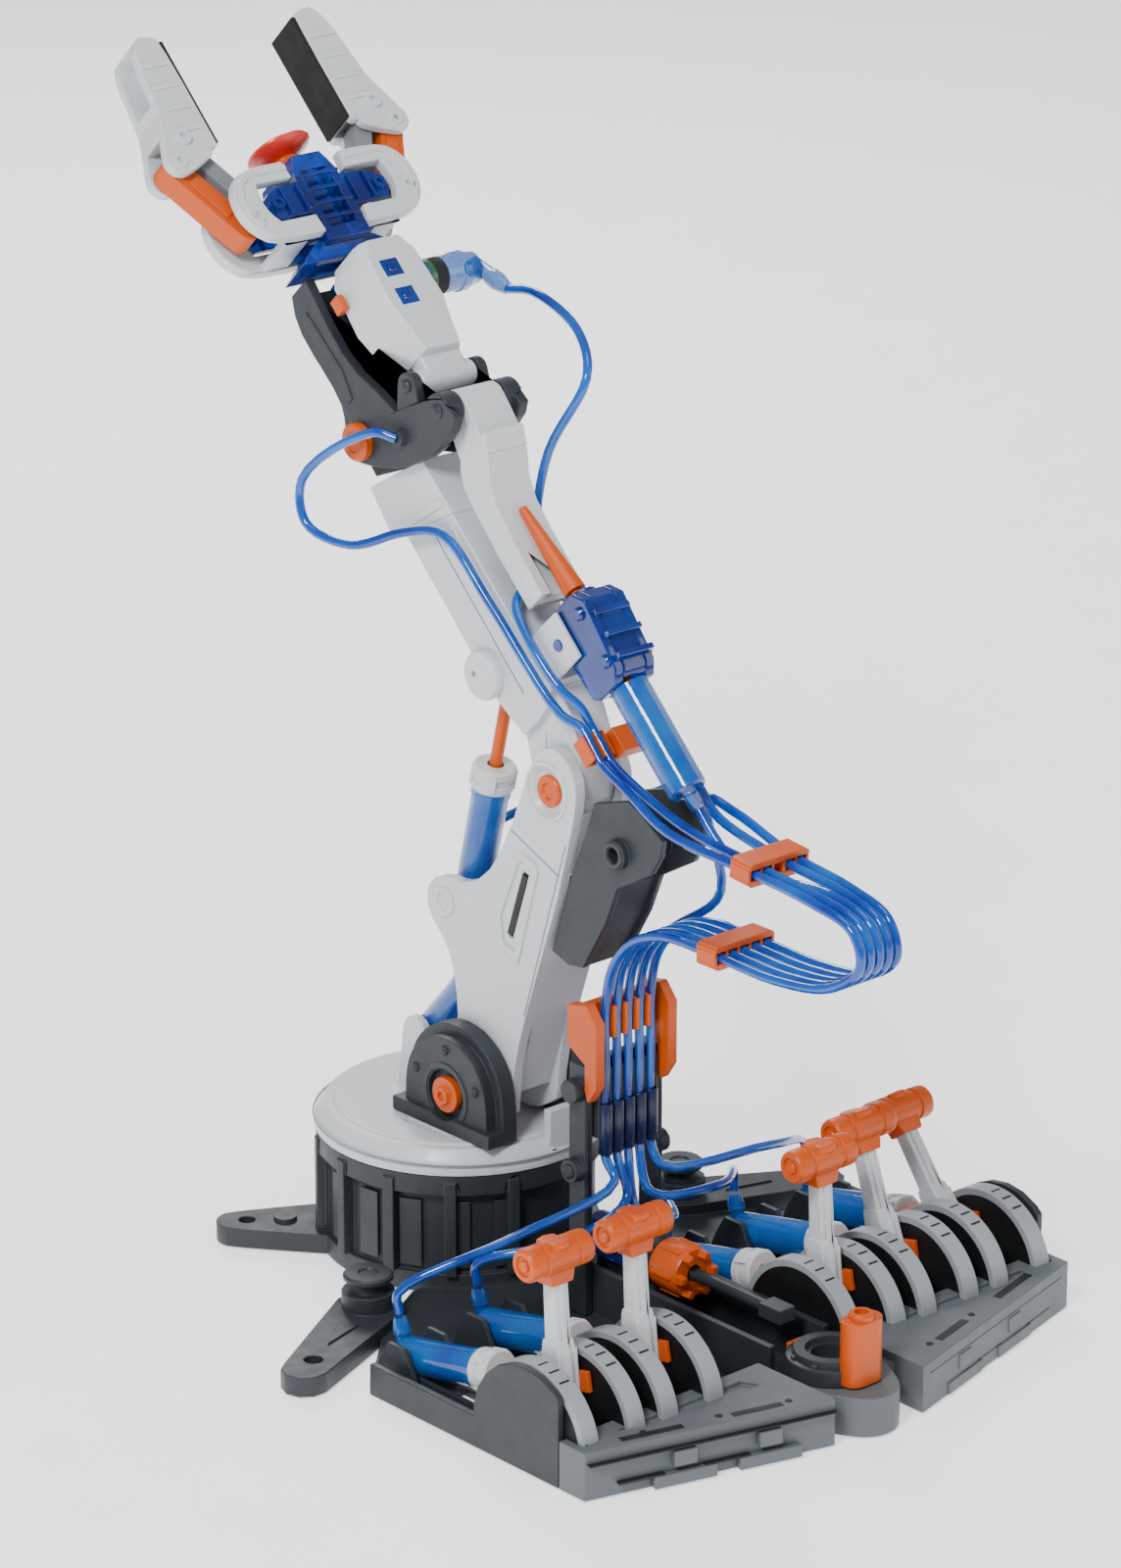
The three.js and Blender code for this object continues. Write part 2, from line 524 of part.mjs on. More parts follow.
function rollCylinder() {
  const [y, z] = H(-58, -12.5);
  const body = union(rodX([y, z], CYLINDER_R, -8, 34), rodX([y, z], 6.7, 33, 38),
    rod([40.5, y, z], [40.5, ...H(-70.5, -19.2)], 2.2, 2.2, 8), rodX([y, z], 2.2, 37, 42, 12));
  return body;
}
add('roll_cylinder', 'blue', rollCylinder());

// ---- gripper, in the wrist's own frame: +Z along the arm, X across, -Y to the back ----
// Outline in (x, s), from t0 to t1 (towards the front).
function plateT(points, t0, t1) {
  return extrude(points, t1 - t0, basis([1, 0, 0], [0, 0, 1], [0, -1, 0], [0, t1, 0]));
}
const pairT = (points, t0, t1) => union(plateT(points, t0, t1), plateT(points, -t1, -t0));
const mirror = (side, points) => points.map(([x, s]) => [side * x, s]);

function gripperFrame() {
  const core = plateT([[-9, -36], [9, -36], [9, -10], [6, -3], [-6, -3], [-9, -10]], -11, 11);
  const flare = plateT([[-21, -41], [21, -41], [12, -34], [-12, -34]], -7, 7);
  const wings = [-1, 1].map((side) => pairT(
    mirror(side, [[8, -25], [23, -25], [25.5, -21], [25.5, -17], [20, -13], [8, -12.5]]), 8.2, 11));
  const pocket = pairT([[-5.5, -31], [5.5, -31], [5.5, -9], [-5.5, -9]], 7.5, 12);
  const side = [-1, 1].map((d) => box(...[d * 6.5, d * 10].sort((a, b) => a - b), -5, 5, -31, -9));
  return cut(union(core, flare, ...wings), pocket, ...side);
}
add('gripper_frame', 'blue', gripperFrame(), gripper);
const cupProfile = [[0, -2.6], [4, -2.6], [4, 1], [11.5, 5], [11.5, 6], [10.5, 6], [4, 3], [0, 3]];
add('suction_cup', 'red', solid(new THREE.LatheGeometry(
  cupProfile.map(([u, v]) => new THREE.Vector2(u, v)), 14).rotateX(Math.PI / 2)), gripper);

function bracket(side) {
  const outer = mirror(side, [[12, -5], [29, -5], [35, -9], [37.5, -15], [37.5, -23], [34, -29], [28, -33],
    [9.4, -33.2]]);
  const loop = cut(pairT(outer, 8.2, 12.5),
    pairT(mirror(side, [[5, -11.5], [26.5, -11.5], [27.4, -16], [27.4, -22], [24.5, -26.5],
      [5, -26.5]]), 7, 14));
  const web = plateT(mirror(side, [[14, -30], [24, -30], [24, -33], [14, -33]]), -12.5, 12.5);
  const frameRoom = box(-9.3, 9.3, -13, 13, -40, 0);
  return cut(union(loop, web), frameRoom);
}
add('bracket_left', 'white', bracket(-1), gripper);
add('bracket_right', 'white', bracket(1), gripper);

function link([x, s], side, r, t) {
  const tip = [x + JAW.link[0], s + JAW.link[1]];
  return plateT(mirror(side, hull(circle(x, s, r), circle(...tip, r))), -t, t);
}
for (const [name, side] of [['left', -1], ['right', 1]]) {
  add(`outer_link_${name}`, 'orange', link(JAW.p1, side, 4.4, 4.4), gripper);
  add(`inner_link_${name}`, 'grey', link(JAW.p2, side, 3.3, 4.2), gripper);
}

function jaw(side) {
  const j1 = [JAW.p1[0] + JAW.link[0], JAW.p1[1] + JAW.link[1]];
  const j2 = [JAW.p2[0] + JAW.link[0], JAW.p2[1] + JAW.link[1]];
  const p = JAW.pad;
  const knuckle = hull(circle(...j1, 5.4), circle(...j2, 4.4), [[p + 2, 9], [p + 2, 24], [43, 26]]);
  const blade = [[p, 8], [p + 2, 7], [36, 12], [46, 12], [44, 24], [41, 49], [36, 53], [p + 2, 52], [p, 50]];
  const body = union(plateT(mirror(side, blade), -8, 8), plateT(mirror(side, knuckle), -8, 8));
  const slot = plateT(mirror(side, [[26, -10], [60, -10], [60, 12], [50, 15], [31.3, 15], [31.3, 11.5],
    [26, 6]]), -4.8, 4.8);
  const pocket = plateT(mirror(side, [[34, 30], [50, 27], [50, 60], [34, 47]]), -5, 5);
  return cut(body, slot, pocket);
}
add('jaw_left', 'white', jaw(-1), gripper);
add('jaw_right', 'white', jaw(1), gripper);

// ---- hoses ----
const hoseX = (i) => (i - 2) * TOWER.channel;

function loopPath(i) {
  const x = hoseX(i);
  const c = i < 2 ? CLIP_X[i] : x;
  const [, y, z] = [0, ...C([0, CONTROL.y, CONTROL.z], -2, 14)];
  const start = LEVERS[i][0];
  const bend = [45, 37, 31, 37, 45][i];
  return [
    [start, y, z], [start, y + 0.3, z + 7], [start * 0.6 + x * 0.3, -89, bend],
    [x * 1.05, -89, bend + 7], [x, -84, 59], [x, -83.8, 92], [x, -83.8, 112], [x, -87, 126],
    [x, -97, 138], [x, -112, 144], [x, -134, 144.5], [x, -162, 144], [x * 0.9, -186, 148],
    [x * 0.8, -198, 158], [x * 0.8, -194, 169], [x * 0.9, -176, 174], [x, -149, 177], [x * 1.45, -118, 182],
    [c, -94, 190], [c, ...U(-7, -29)], [c, ...U(0, -29)], [c, ...U(7, -29)],
  ];
}
const SHOULDER_END = [[13, -106, 184], [16, ...L(112, -58)], [17, ...L(86, -42)], [15.7, ...L(60, -25)],
  [15.8, ...L(34, -29)], [15.4, -16, 96], [14.8, 4, 91], [12.4, 12, 84]];
const ELBOW_END = [[13.6, -100, 187.5], [15.4, ...L(132, -26)], [15.6, ...L(124, -18)],
  [15.6, ...L(110, 6)], [14.8, ...L(92, 26)], [9.6, ...L(68, 46)]];
const PITCH_END = [[0, -150, 172], [0, -134, 172], [0, ...U(-46, -46)], [0, ...U(-36.8, -46)]];
const ROLL_END = [[-9.6, ...U(13, -31.4)], [-12.9, ...U(21, -31)], [-12.9, ...U(44, -29.6)],
  [-9, ...U(55, -28.8)],
  [9, ...U(66, -28.6)], [14, ...U(80, -31)], [20, ...U(96, -46)], [27, ...H(-122, -46)],
  [36, ...H(-104, -44)], [40.5, ...H(-80, -30)], [40.5, ...H(-72, -20)]];
const GRIPPER_END = [[-13.2, ...U(15, -25.4)], [-13.4, ...U(60, -22)], [-14, ...U(88, -19)],
  [-17, ...U(98, -6)], [-24, ...U(106, 12)], [-28, ...U(122, 22)], [-27, ...U(134, 14)], [-22, ...H(-101, 2)],
  [-18.4, ...H(-107, -2)]];

function hosePath(i) {
  const common = loopPath(i);
  const keep = [0, 0, -6, -3, -4][i];
  const end = [GRIPPER_END, ROLL_END, PITCH_END, ELBOW_END, SHOULDER_END][i];
  return [...common.slice(0, keep || undefined), ...end];
}
for (let i = 0; i < 5; i += 1) {
  const path = hosePath(i);
  add(`hose_${i + 1}`, 'hose', tube(path, HOSE_R, 8, path.length + 4));
}

export default arm;
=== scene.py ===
"""The looks of a desktop hydraulic arm kit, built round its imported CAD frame.

Shapes are given in millimetres, and MM turns them into metres."""
import json
import math

import bmesh
import bpy
from mathutils import Matrix, Vector


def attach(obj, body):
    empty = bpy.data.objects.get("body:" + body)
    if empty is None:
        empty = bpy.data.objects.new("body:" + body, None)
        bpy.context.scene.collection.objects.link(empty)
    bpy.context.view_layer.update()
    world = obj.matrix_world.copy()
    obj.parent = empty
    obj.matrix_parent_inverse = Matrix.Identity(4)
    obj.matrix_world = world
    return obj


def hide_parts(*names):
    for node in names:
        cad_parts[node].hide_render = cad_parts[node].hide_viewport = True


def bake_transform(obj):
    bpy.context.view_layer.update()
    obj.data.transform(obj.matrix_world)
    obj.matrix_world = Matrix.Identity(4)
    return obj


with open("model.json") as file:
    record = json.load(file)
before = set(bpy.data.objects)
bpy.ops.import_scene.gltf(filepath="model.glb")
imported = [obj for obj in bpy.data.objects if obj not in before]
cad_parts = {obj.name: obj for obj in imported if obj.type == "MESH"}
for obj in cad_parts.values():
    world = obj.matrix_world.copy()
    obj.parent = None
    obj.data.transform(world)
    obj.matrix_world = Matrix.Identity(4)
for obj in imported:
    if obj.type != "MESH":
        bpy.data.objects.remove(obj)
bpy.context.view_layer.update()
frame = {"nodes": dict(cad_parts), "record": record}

MM = 0.001
X, Y, Z = Vector((1, 0, 0)), Vector((0, 1, 0)), Vector((0, 0, 1))
JOINTS = {j["name"]: j for j in frame["record"]["behaviour"]["joints"]}
SIDES = (("left", -1), ("right", 1))
FACES = (("b", -1), ("f", 1))


# ---- places: the arm's own frames, in millimetres, worked out from the joints ----
def joint_at(name):
    return Vector(JOINTS[name]["pos_m"]) / MM


def in_plane(origin, lean):
    """A frame in the arm's plane: s runs along the piece, t towards the front, x across."""
    along = Vector((0, math.sin(lean), math.cos(lean)))
    front = Vector((0, math.cos(lean), -math.sin(lean)))
    return lambda s, t, x=0: origin + along * s + front * t + X * x


SHOULDER, ELBOW, HEAD = joint_at("shoulder"), joint_at("elbow"), joint_at("wrist_roll")
LOWER = in_plane(SHOULDER, math.atan2(ELBOW.y - SHOULDER.y, ELBOW.z - SHOULDER.z))
UPPER = in_plane(ELBOW, math.pi / 4)
FORE = in_plane(HEAD, math.pi / 4)
ARM_AXIS = FORE(1, 0) - FORE(0, 0)
ARM_FRONT = FORE(0, 1) - FORE(0, 0)
PITCH_PIN = joint_at("wrist_pitch")
INNER_HINGES = {"left": joint_at("gripper"), "right": joint_at("outer_link_right_turn")}
LEVER_LEANS = (3.9, 3.9, 3.9, 19.8, 37.5)
LEVER_X = [joint_at(f"lever_{i}_tilt").x for i in range(1, 6)]
CHANNEL = 5
HOSE_R = 1.6
BARREL_R = 6.3
CLIP_X = (-11.4, -7.4)
CONTROL_TILT = math.atan(0.215)
CONTROL_FOOT_Y, CONTROL_FOOT_Z = -76, 9.4
LEVER_Y = -150
ARC_FRONT, ARC_FOOT = -165.6, 16.8


# ---- camera and light ----
SENSOR_MM, LENS_MM = 36, 134.6


def make_camera():
    data = bpy.data.cameras.new("camera")
    data.sensor_fit, data.sensor_height, data.lens = "VERTICAL", SENSOR_MM, LENS_MM
    camera = bpy.data.objects.new("camera", data)
    bpy.context.scene.collection.objects.link(camera)
    azimuth, elevation, distance = math.radians(-41.85), math.radians(19.61), 1.8113
    target = Vector((-0.0607, -0.1185, 0.2097))
    back = Vector((math.sin(azimuth) * math.cos(elevation),
        -math.cos(azimuth) * math.cos(elevation), math.sin(elevation)))
    camera.location = target + back * distance
    camera.rotation_euler = (-back).to_track_quat("-Z", "Y").to_euler()
    data.clip_end = 20
    bpy.context.scene.camera = camera


def area_light(name, place, target, size, power, colour=(1, 1, 1)):
    data = bpy.data.lights.new(name, "AREA")
    data.shape, data.size, data.energy, data.color = "DISK", size, power, colour
    light = bpy.data.objects.new(name, data)
    light.location = place
    light.rotation_euler = (Vector(target) - Vector(place)).to_track_quat("-Z", "Y").to_euler()
    bpy.context.scene.collection.objects.link(light)


def make_light():
    aim = (0, -0.04, 0.18)
    area_light("key", (-1.5, -0.7, 1.7), aim, 0.6, 44)
    area_light("fill", (1.3, -1.5, 0.9), aim, 1.0, 5)
    area_light("rim", (0.8, 1.4, 1.3), aim, 0.8, 20)
    area_light("top", (0, -0.2, 2.0), aim, 1.0, 8)
    world = bpy.data.worlds.new("studio")
    world.use_nodes = True
    world.node_tree.nodes["Background"].inputs["Color"].default_value = (0.93, 0.95, 0.97, 1)
    world.node_tree.nodes["Background"].inputs["Strength"].default_value = 0.4
    bpy.context.scene.world = world


def make_floor():
    bm = bmesh.new()
    bmesh.ops.create_grid(bm, x_segments=1, y_segments=1, size=4)
    bm.transform(Matrix.Translation((0, 0, -0.0006)))
    MATERIALS["paper"] = plastic("floor_paper", (0.96, 0.965, 0.97), 0.75, grain=0.02)
    glow = MATERIALS["paper"].node_tree.nodes["Principled BSDF"].inputs
    glow["Emission Color"].default_value = (1, 1, 1, 1)
    glow["Emission Strength"].default_value = 0.9
    mesh_object("floor", bm, "paper")


# ---- materials ----
def link_nodes(tree, *pairs):
    for source, target in pairs:
        tree.links.new(source, target)


def new_material(name):
    material = bpy.data.materials.new(name)
    material.use_nodes = True
    tree = material.node_tree
    shader = tree.nodes["Principled BSDF"]
    coordinates = tree.nodes.new("ShaderNodeTexCoord").outputs["Object"]
    return material, tree, shader, coordinates


def noise(tree, coordinates, scale, detail=3.0):
    node = tree.nodes.new("ShaderNodeTexNoise")
    node.inputs["Scale"].default_value = scale
    node.inputs["Detail"].default_value = detail
    tree.links.new(coordinates, node.inputs["Vector"])
    return node.outputs["Fac"]


def mapped(tree, value, low, high):
    node = tree.nodes.new("ShaderNodeMapRange")
    node.inputs["From Min"].default_value = 0.3
    node.inputs["From Max"].default_value = 0.7
    node.inputs["To Min"].default_value = low
    node.inputs["To Max"].default_value = high
    tree.links.new(value, node.inputs["Value"])
    return node.outputs["Result"]


def mixed(tree, factor, a, b):
    """Colour a where factor is 0 and b where it is 1. Each is a colour or a node's output."""
    node = tree.nodes.new("ShaderNodeMix")
    node.data_type = "RGBA"
    tree.links.new(factor, node.inputs["Factor"])
    for colour, socket in ((a, node.inputs[6]), (b, node.inputs[7])):
        if isinstance(colour, bpy.types.NodeSocket):
            tree.links.new(colour, socket)
        else:
            socket.default_value = (*colour, 1)
    return node.outputs[2]


def edge_factor(tree):
    """0 on flat faces and rising along worn outer edges."""
    geometry = tree.nodes.new("ShaderNodeNewGeometry")
    node = tree.nodes.new("ShaderNodeMapRange")
    node.inputs["From Min"].default_value = 0.52
    node.inputs["From Max"].default_value = 0.62
    node.inputs["To Max"].default_value = 0.5
    tree.links.new(geometry.outputs["Pointiness"], node.inputs["Value"])
    return node.outputs["Result"]


def surface_bump(tree, shader, coordinates, grain, texture_scale):
    node = tree.nodes.new("ShaderNodeBump")
    node.inputs["Strength"].default_value = grain
    node.inputs["Distance"].default_value = 0.0004
    link_nodes(tree, (noise(tree, coordinates, texture_scale), node.inputs["Height"]),
        (node.outputs["Normal"], shader.inputs["Normal"]))


def plastic(name, colour, roughness, grain=0.1, texture_scale=2600, coat=0.0, paint=None):
    """Moulded plastic: fine spark texture, slow colour drift, uneven gloss and lighter worn edges."""
    material, tree, shader, coordinates = new_material(name)
    shader.inputs["Specular IOR Level"].default_value = 0.35
    base = paint(tree, coordinates) if paint else colour
    darker = tuple(c * 0.9 for c in colour)
    drift = mapped(tree, noise(tree, coordinates, 28), 0.0, 0.35)
    toned = mixed(tree, drift, base, darker)
    lighter = tuple(min(1, c * 1.12 + 0.015) for c in colour)
    link_nodes(tree, (mixed(tree, edge_factor(tree), toned, lighter), shader.inputs["Base Color"]),
        (mapped(tree, noise(tree, coordinates, 160), roughness * 0.88, roughness * 1.15),
        shader.inputs["Roughness"]))
    shader.inputs["Coat Weight"].default_value = coat
    shader.inputs["Coat Roughness"].default_value = 0.15
    surface_bump(tree, shader, coordinates, grain, texture_scale)
    return material


def clear_plastic(name, colour, deep, transmission, roughness=0.06, alpha=1.0):
    """Tinted see-through plastic, its tone drifting at random towards a deeper one."""
    material, tree, shader, coordinates = new_material(name)
    tone = mapped(tree, noise(tree, coordinates, 45), 0.0, 1.0)
    link_nodes(tree, (mixed(tree, tone, colour, deep), shader.inputs["Base Color"]), (mapped(tree,
        noise(tree, coordinates, 300), roughness * 0.7, roughness * 1.4),
        shader.inputs["Roughness"]))
    shader.inputs["Transmission Weight"].default_value = transmission
    shader.inputs["IOR"].default_value = 1.46
    shader.inputs["Coat Weight"].default_value = 0.5
    shader.inputs["Coat Roughness"].default_value = 0.04
    shader.inputs["Alpha"].default_value = alpha
    surface_bump(tree, shader, coordinates, 0.05, 500)
    return material


def compare(tree, operation, a, threshold):
    node = tree.nodes.new("ShaderNodeMath")
    node.operation = operation
    tree.links.new(a, node.inputs[0])
    node.inputs[1].default_value = threshold
    return node.outputs[0]


def arc_paint(tree, coordinates):
    """The deck's arcs stand above its bars: pale on their rims and black on their flat sides."""
    place = tree.nodes.new("ShaderNodeSeparateXYZ")
    facing = tree.nodes.new("ShaderNodeSeparateXYZ")
    normal = tree.nodes.new("ShaderNodeNewGeometry").outputs["Normal"]
    link_nodes(tree, (coordinates, place.inputs[0]), (normal, facing.inputs[0]))
    above = compare(tree, "GREATER_THAN", place.outputs[2], ARC_FOOT * MM)
    behind = compare(tree, "GREATER_THAN", place.outputs[1], ARC_FRONT * MM)
    arc = tree.nodes.new("ShaderNodeMath")
    arc.operation = "MAXIMUM"
    link_nodes(tree, (above, arc.inputs[0]), (behind, arc.inputs[1]))
    side = compare(tree, "GREATER_THAN", compare(tree, "ABSOLUTE", facing.outputs[0], 0), 0.8)
    rim = mixed(tree, arc.outputs[0], GREY, PALE)
    flank = mixed(tree, arc.outputs[0], GREY, BLACK)
    return mixed(tree, side, rim, flank)


WHITE, PALE, GREY = (0.60, 0.63, 0.65), (0.30, 0.33, 0.35), (0.105, 0.12, 0.13)
SLATE, BLACK, ORANGE = (0.024, 0.030, 0.036), (0.003, 0.0035, 0.004), (0.60, 0.078, 0.0)


TONE_SLOTS = {"white": "white_plastic", "slate": "dark_plastic", "pale": "deck_plastic",
    "orange": "orange_plastic", "blue": "blue_plastic", "cyan": "blue_plastic", "red": "red_rubber"}


def make_materials():
    """Every tone's material, by the tone's name."""
    return {
        "white": plastic("white_abs", WHITE, 0.36, 0.05, 3200, 0.15),
        "slate": plastic("slate_abs", SLATE, 0.46, 0.14),
        "deck": plastic("deck_abs", GREY, 0.48, 0.14, paint=arc_paint),
        "deck_plain": plastic("deck_trim_abs", GREY, 0.48, 0.14),
        "pale": plastic("arc_abs", PALE, 0.42, 0.1),
        "black": plastic("black_abs", BLACK, 0.5, 0.12),
        "rubber": plastic("pad_rubber", (0.006, 0.006, 0.007), 0.75, 0.35, 1800),
        "orange": plastic("orange_abs", ORANGE, 0.36, 0.05, 3000),
        "grey": plastic("link_grey", (0.19, 0.21, 0.23), 0.4, 0.08),
        "green": plastic("seal_green", (0.02, 0.10, 0.03), 0.25, 0.04, 2000, 0.4),
        "red": plastic("cup_red", (0.75, 0.03, 0.015), 0.3, 0.05, 2200, 0.4),
        "navy": plastic("sleeve_navy", (0.002, 0.008, 0.05), 0.3, 0.05, 2400, 0.3),
        "blue": clear_plastic("clear_blue", (0.0, 0.07, 0.50), (0.0, 0.012, 0.24), 0.6),
        "cyan": clear_plastic("clear_cyan", (0.0, 0.19, 0.62), (0.0, 0.07, 0.45), 0.2, 0.05, 0.74),
        "hose": clear_plastic("clear_hose", (0.0, 0.14, 0.60), (0.0, 0.02, 0.32), 0.2, 0.08),
    }


# ---- meshes ----
def mesh_object(name, bm, tone, body=None, bevel=0.0, slot="own"):
    """A smooth-shaded piece in a tone of MATERIALS. bevel is in millimetres.
    The slot argument is not used."""
    bmesh.ops.recalc_face_normals(bm, faces=bm.faces)
    mesh = bpy.data.meshes.new(name)
    bm.to_mesh(mesh)
    bm.free()
    piece = bpy.data.objects.new(name, mesh)
    bpy.context.scene.collection.objects.link(piece)
    mesh.materials.append(MATERIALS[tone])
    soften(piece, bevel)
    if body:
        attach(piece, body)
    if slot == "own":
        slot = TONE_SLOTS.get(tone)
    return piece


def soften(piece, bevel, angle=38):
    """Smooth shading with rounded edges where two faces meet at more than the angle, in degrees."""
    piece.data.shade_smooth()
    if not bevel:
        piece.data.set_sharp_from_angle(angle=math.radians(angle))
        return
    rounding = piece.modifiers.new("rounded_edges", "BEVEL")
    rounding.width, rounding.segments = bevel * MM, 2
    rounding.limit_method, rounding.angle_limit = "ANGLE", math.radians(angle)
    rounding.harden_normals = False
    shading = piece.modifiers.new("even_shading", "WEIGHTED_NORMAL")
    shading.keep_sharp = True


def frame_of(axis):
    """Two unit vectors across an axis."""
    helper = X if abs(axis.x) < 0.9 else Y
    u = axis.cross(helper).normalized()
    return u, axis.cross(u).normalized()


def lathe_mesh(start, axis, profile, segments=32):
    """A turned form. The profile lists (distance, radius) along the axis, in millimetres.
    It ends on the axis or in flat ends, and one that comes back to its first point makes a ring."""
    axis = axis.normalized()
    u, v = frame_of(axis)
    bm = bmesh.new()
    rings = []
    is_ring = profile[0] == profile[-1]
    for distance, radius in profile[:-1] if is_ring else profile:
        centre = start + axis * distance
        if radius == 0:
            rings.append([bm.verts.new(centre * MM)])
            continue
        turns = [2 * math.pi * k / segments for k in range(segments)]
        rings.append([bm.verts.new((centre + (u * math.cos(a) + v * math.sin(a)) * radius) * MM)
                      for a in turns])
    for a, b in zip(rings, rings[1:] + rings[:1] if is_ring else rings[1:]):
        join_rings(bm, a, b)
    if not is_ring:
        for end in (rings[0], rings[-1]):
            if len(end) > 2:
                bm.faces.new(end)
    return bm


def join_rings(bm, a, b):
    count = max(len(a), len(b))
    for k in range(count):
        corners = [a[k % len(a)], a[(k + 1) % len(a)], b[(k + 1) % len(b)], b[k % len(b)]]
        unique = list(dict.fromkeys(corners))
        if len(unique) > 2:
            bm.faces.new(unique)


def turned(name, start, axis, profile, tone, body, segments=32, slot="own", bevel=0.0):
    return mesh_object(name, lathe_mesh(start, axis, profile, segments), tone, body, bevel, slot)


def prism_mesh(points, depth):
    """A plate: its outline as points in space, in millimetres, swept along depth."""
    bm = bmesh.new()
    near = [bm.verts.new(p * MM) for p in points]
    far = [bm.verts.new((p + depth) * MM) for p in points]
    bm.faces.new(near)
    bm.faces.new(far[::-1])
    for k in range(len(near)):
        j = (k + 1) % len(near)
        bm.faces.new((near[k], far[k], far[j], near[j]))
    return bm


def plate(name, points, depth, tone, body, bevel=0.3, slot="own"):
    return mesh_object(name, prism_mesh(points, depth), tone, body, bevel, slot)


def cheek_plate(name, place, outline, x, sink, rise, side, tone, body, bevel=0.3, slot="own"):
    """A plate on the arm's side face at x, from sink below the face to rise above it."""
    low, high = sorted((x - side * sink, x + side * rise))
    return side_plate(name, place, outline, low, high, tone, body, bevel, slot)


def side_plate(name, place, outline, x0, x1, tone, body, bevel=0.3, slot="own"):
    """A plate whose outline is in (s, t) of one of the arm's frames, from x0 to x1."""
    points = [place(s, t, x0) for s, t in outline]
    return plate(name, points, X * (x1 - x0), tone, body, bevel, slot)


def strip(root, across, along):
    """The four corners of a strip: half its width to each side of its root, and along it."""
    return [root + across, root - across, root - across + along, root + across + along]


def block(name, low, high, tone, body, bevel=0.3, slot="own"):
    (x0, y0, z0), (x1, y1, z1) = low, high
    corners = [Vector(p) for p in ((x0, y0, z0), (x1, y0, z0), (x1, y1, z0), (x0, y1, z0))]
    return plate(name, corners, Z * (z1 - z0), tone, body, bevel, slot)


def oval(centre, u, v, half_length, radius, count=10):
    """A round-ended outline along u."""
    points = []
    for side in (1, -1):
        for k in range(count + 1):
            a = math.pi * (k / count - 0.5)
            points.append(centre + u * side * (half_length + radius * math.cos(a))
                          + v * side * radius * math.sin(a))
    return points


# ---- hoses ----
def slope_point(distance, height):
    """A point of a control cylinder, in (y, z): distance towards the operator, height above it."""
    run, rise = math.cos(CONTROL_TILT), math.sin(CONTROL_TILT)
    return (CONTROL_FOOT_Y - distance * run + height * rise,
        CONTROL_FOOT_Z + distance * rise + height * run)


def loop_route(i):
    x = (i - 2) * CHANNEL
    clip = CLIP_X[i] if i < 2 else x
    start, bend = LEVER_X[i], (45, 37, 31, 37, 45)[i]
    y, z = slope_point(-2, 14)
    points = [
        (start, y, z), (start, y + 0.3, z + 7), (start * 0.6 + x * 0.3, -89, bend),
        (x * 1.05, -89, bend + 7), (x, -84, 59), (x, -83.8, 92), (x, -83.8, 112), (x, -87, 126),
        (x, -97, 138), (x, -112, 144), (x, -134, 144.5), (x, -162, 144), (x * 0.9, -186, 148),
        (x * 0.8, -198, 158), (x * 0.8, -194, 169), (x * 0.9, -176, 174), (x, -149, 177),
        (x * 1.45, -118, 182), (clip, -94, 190)]
    return [Vector(p) for p in points] + [UPPER(s, -29, clip) for s in (-7, 0, 7)]


def hose_routes():
    """Each hose's points, and its stretches: (first point, last point, body, body it runs to). A
    stretch that runs to another body is attached to neither.
    """
    loops = [loop_route(i) for i in range(5)]
    to_gripper = [UPPER(15, -25.4, -13.2), UPPER(60, -22, -13.4), UPPER(88, -19, -14),
                  UPPER(98, -6, -17), UPPER(106, 12, -24), UPPER(122, 22, -28), UPPER(134, 14, -27),
                  FORE(-101, 2, -22), FORE(-107, -2, -18.4)]
    to_roll = [UPPER(13, -31.4, -9.6), UPPER(21, -31, -12.9), UPPER(44, -29.6, -12.9),
               UPPER(55, -28.8, -9), UPPER(66, -28.6, 9), UPPER(80, -31, 14), UPPER(96, -46, 20),
               FORE(-122, -46, 27), FORE(-104, -44, 36), FORE(-80, -30, 40.5), FORE(-72, -20, 40.5)]
    to_pitch = [Vector((0, -150, 172)), Vector((0, -134, 172)), UPPER(-46, -46), UPPER(-36.8, -46)]
    to_elbow = [Vector((13.6, -100, 187.5)), LOWER(132, -26, 15.4), LOWER(124, -18, 15.6),
                LOWER(110, 6, 15.6), LOWER(92, 26, 14.8), LOWER(68, 46, 9.6)]
    to_shoulder = [Vector((13, -106, 184)), LOWER(112, -58, 16), LOWER(86, -42, 17),
                   LOWER(60, -25, 15.7), LOWER(34, -29, 15.8), Vector((15.4, -16, 96)),
                   Vector((14.8, 4, 91)), Vector((12.4, 12, 84))]
    loop = [(0, 7, "root", None), (7, 11, "root", "turntable"), (11, 15, "turntable", "lower_arm")]
    on_arm = [(15, 19, "lower_arm", "upper_arm")]
    return [
        (loops[0] + to_gripper,
         loop + on_arm + [(19, 25, "upper_arm", None), (25, 30, "upper_arm", "forearm")]),
        (loops[1] + to_roll,
         loop + on_arm + [(19, 27, "upper_arm", None), (27, 32, "upper_arm", "forearm")]),
        (loops[2][:16] + to_pitch, loop + [(15, 19, "lower_arm", "upper_arm")]),
        (loops[3][:18] + to_elbow, loop + [(15, 23, "lower_arm", None)]),
        (loops[4][:18] + to_shoulder, loop + [(15, 20, "lower_arm", None),
                                              (20, 25, "lower_arm", "turntable")]),
    ]


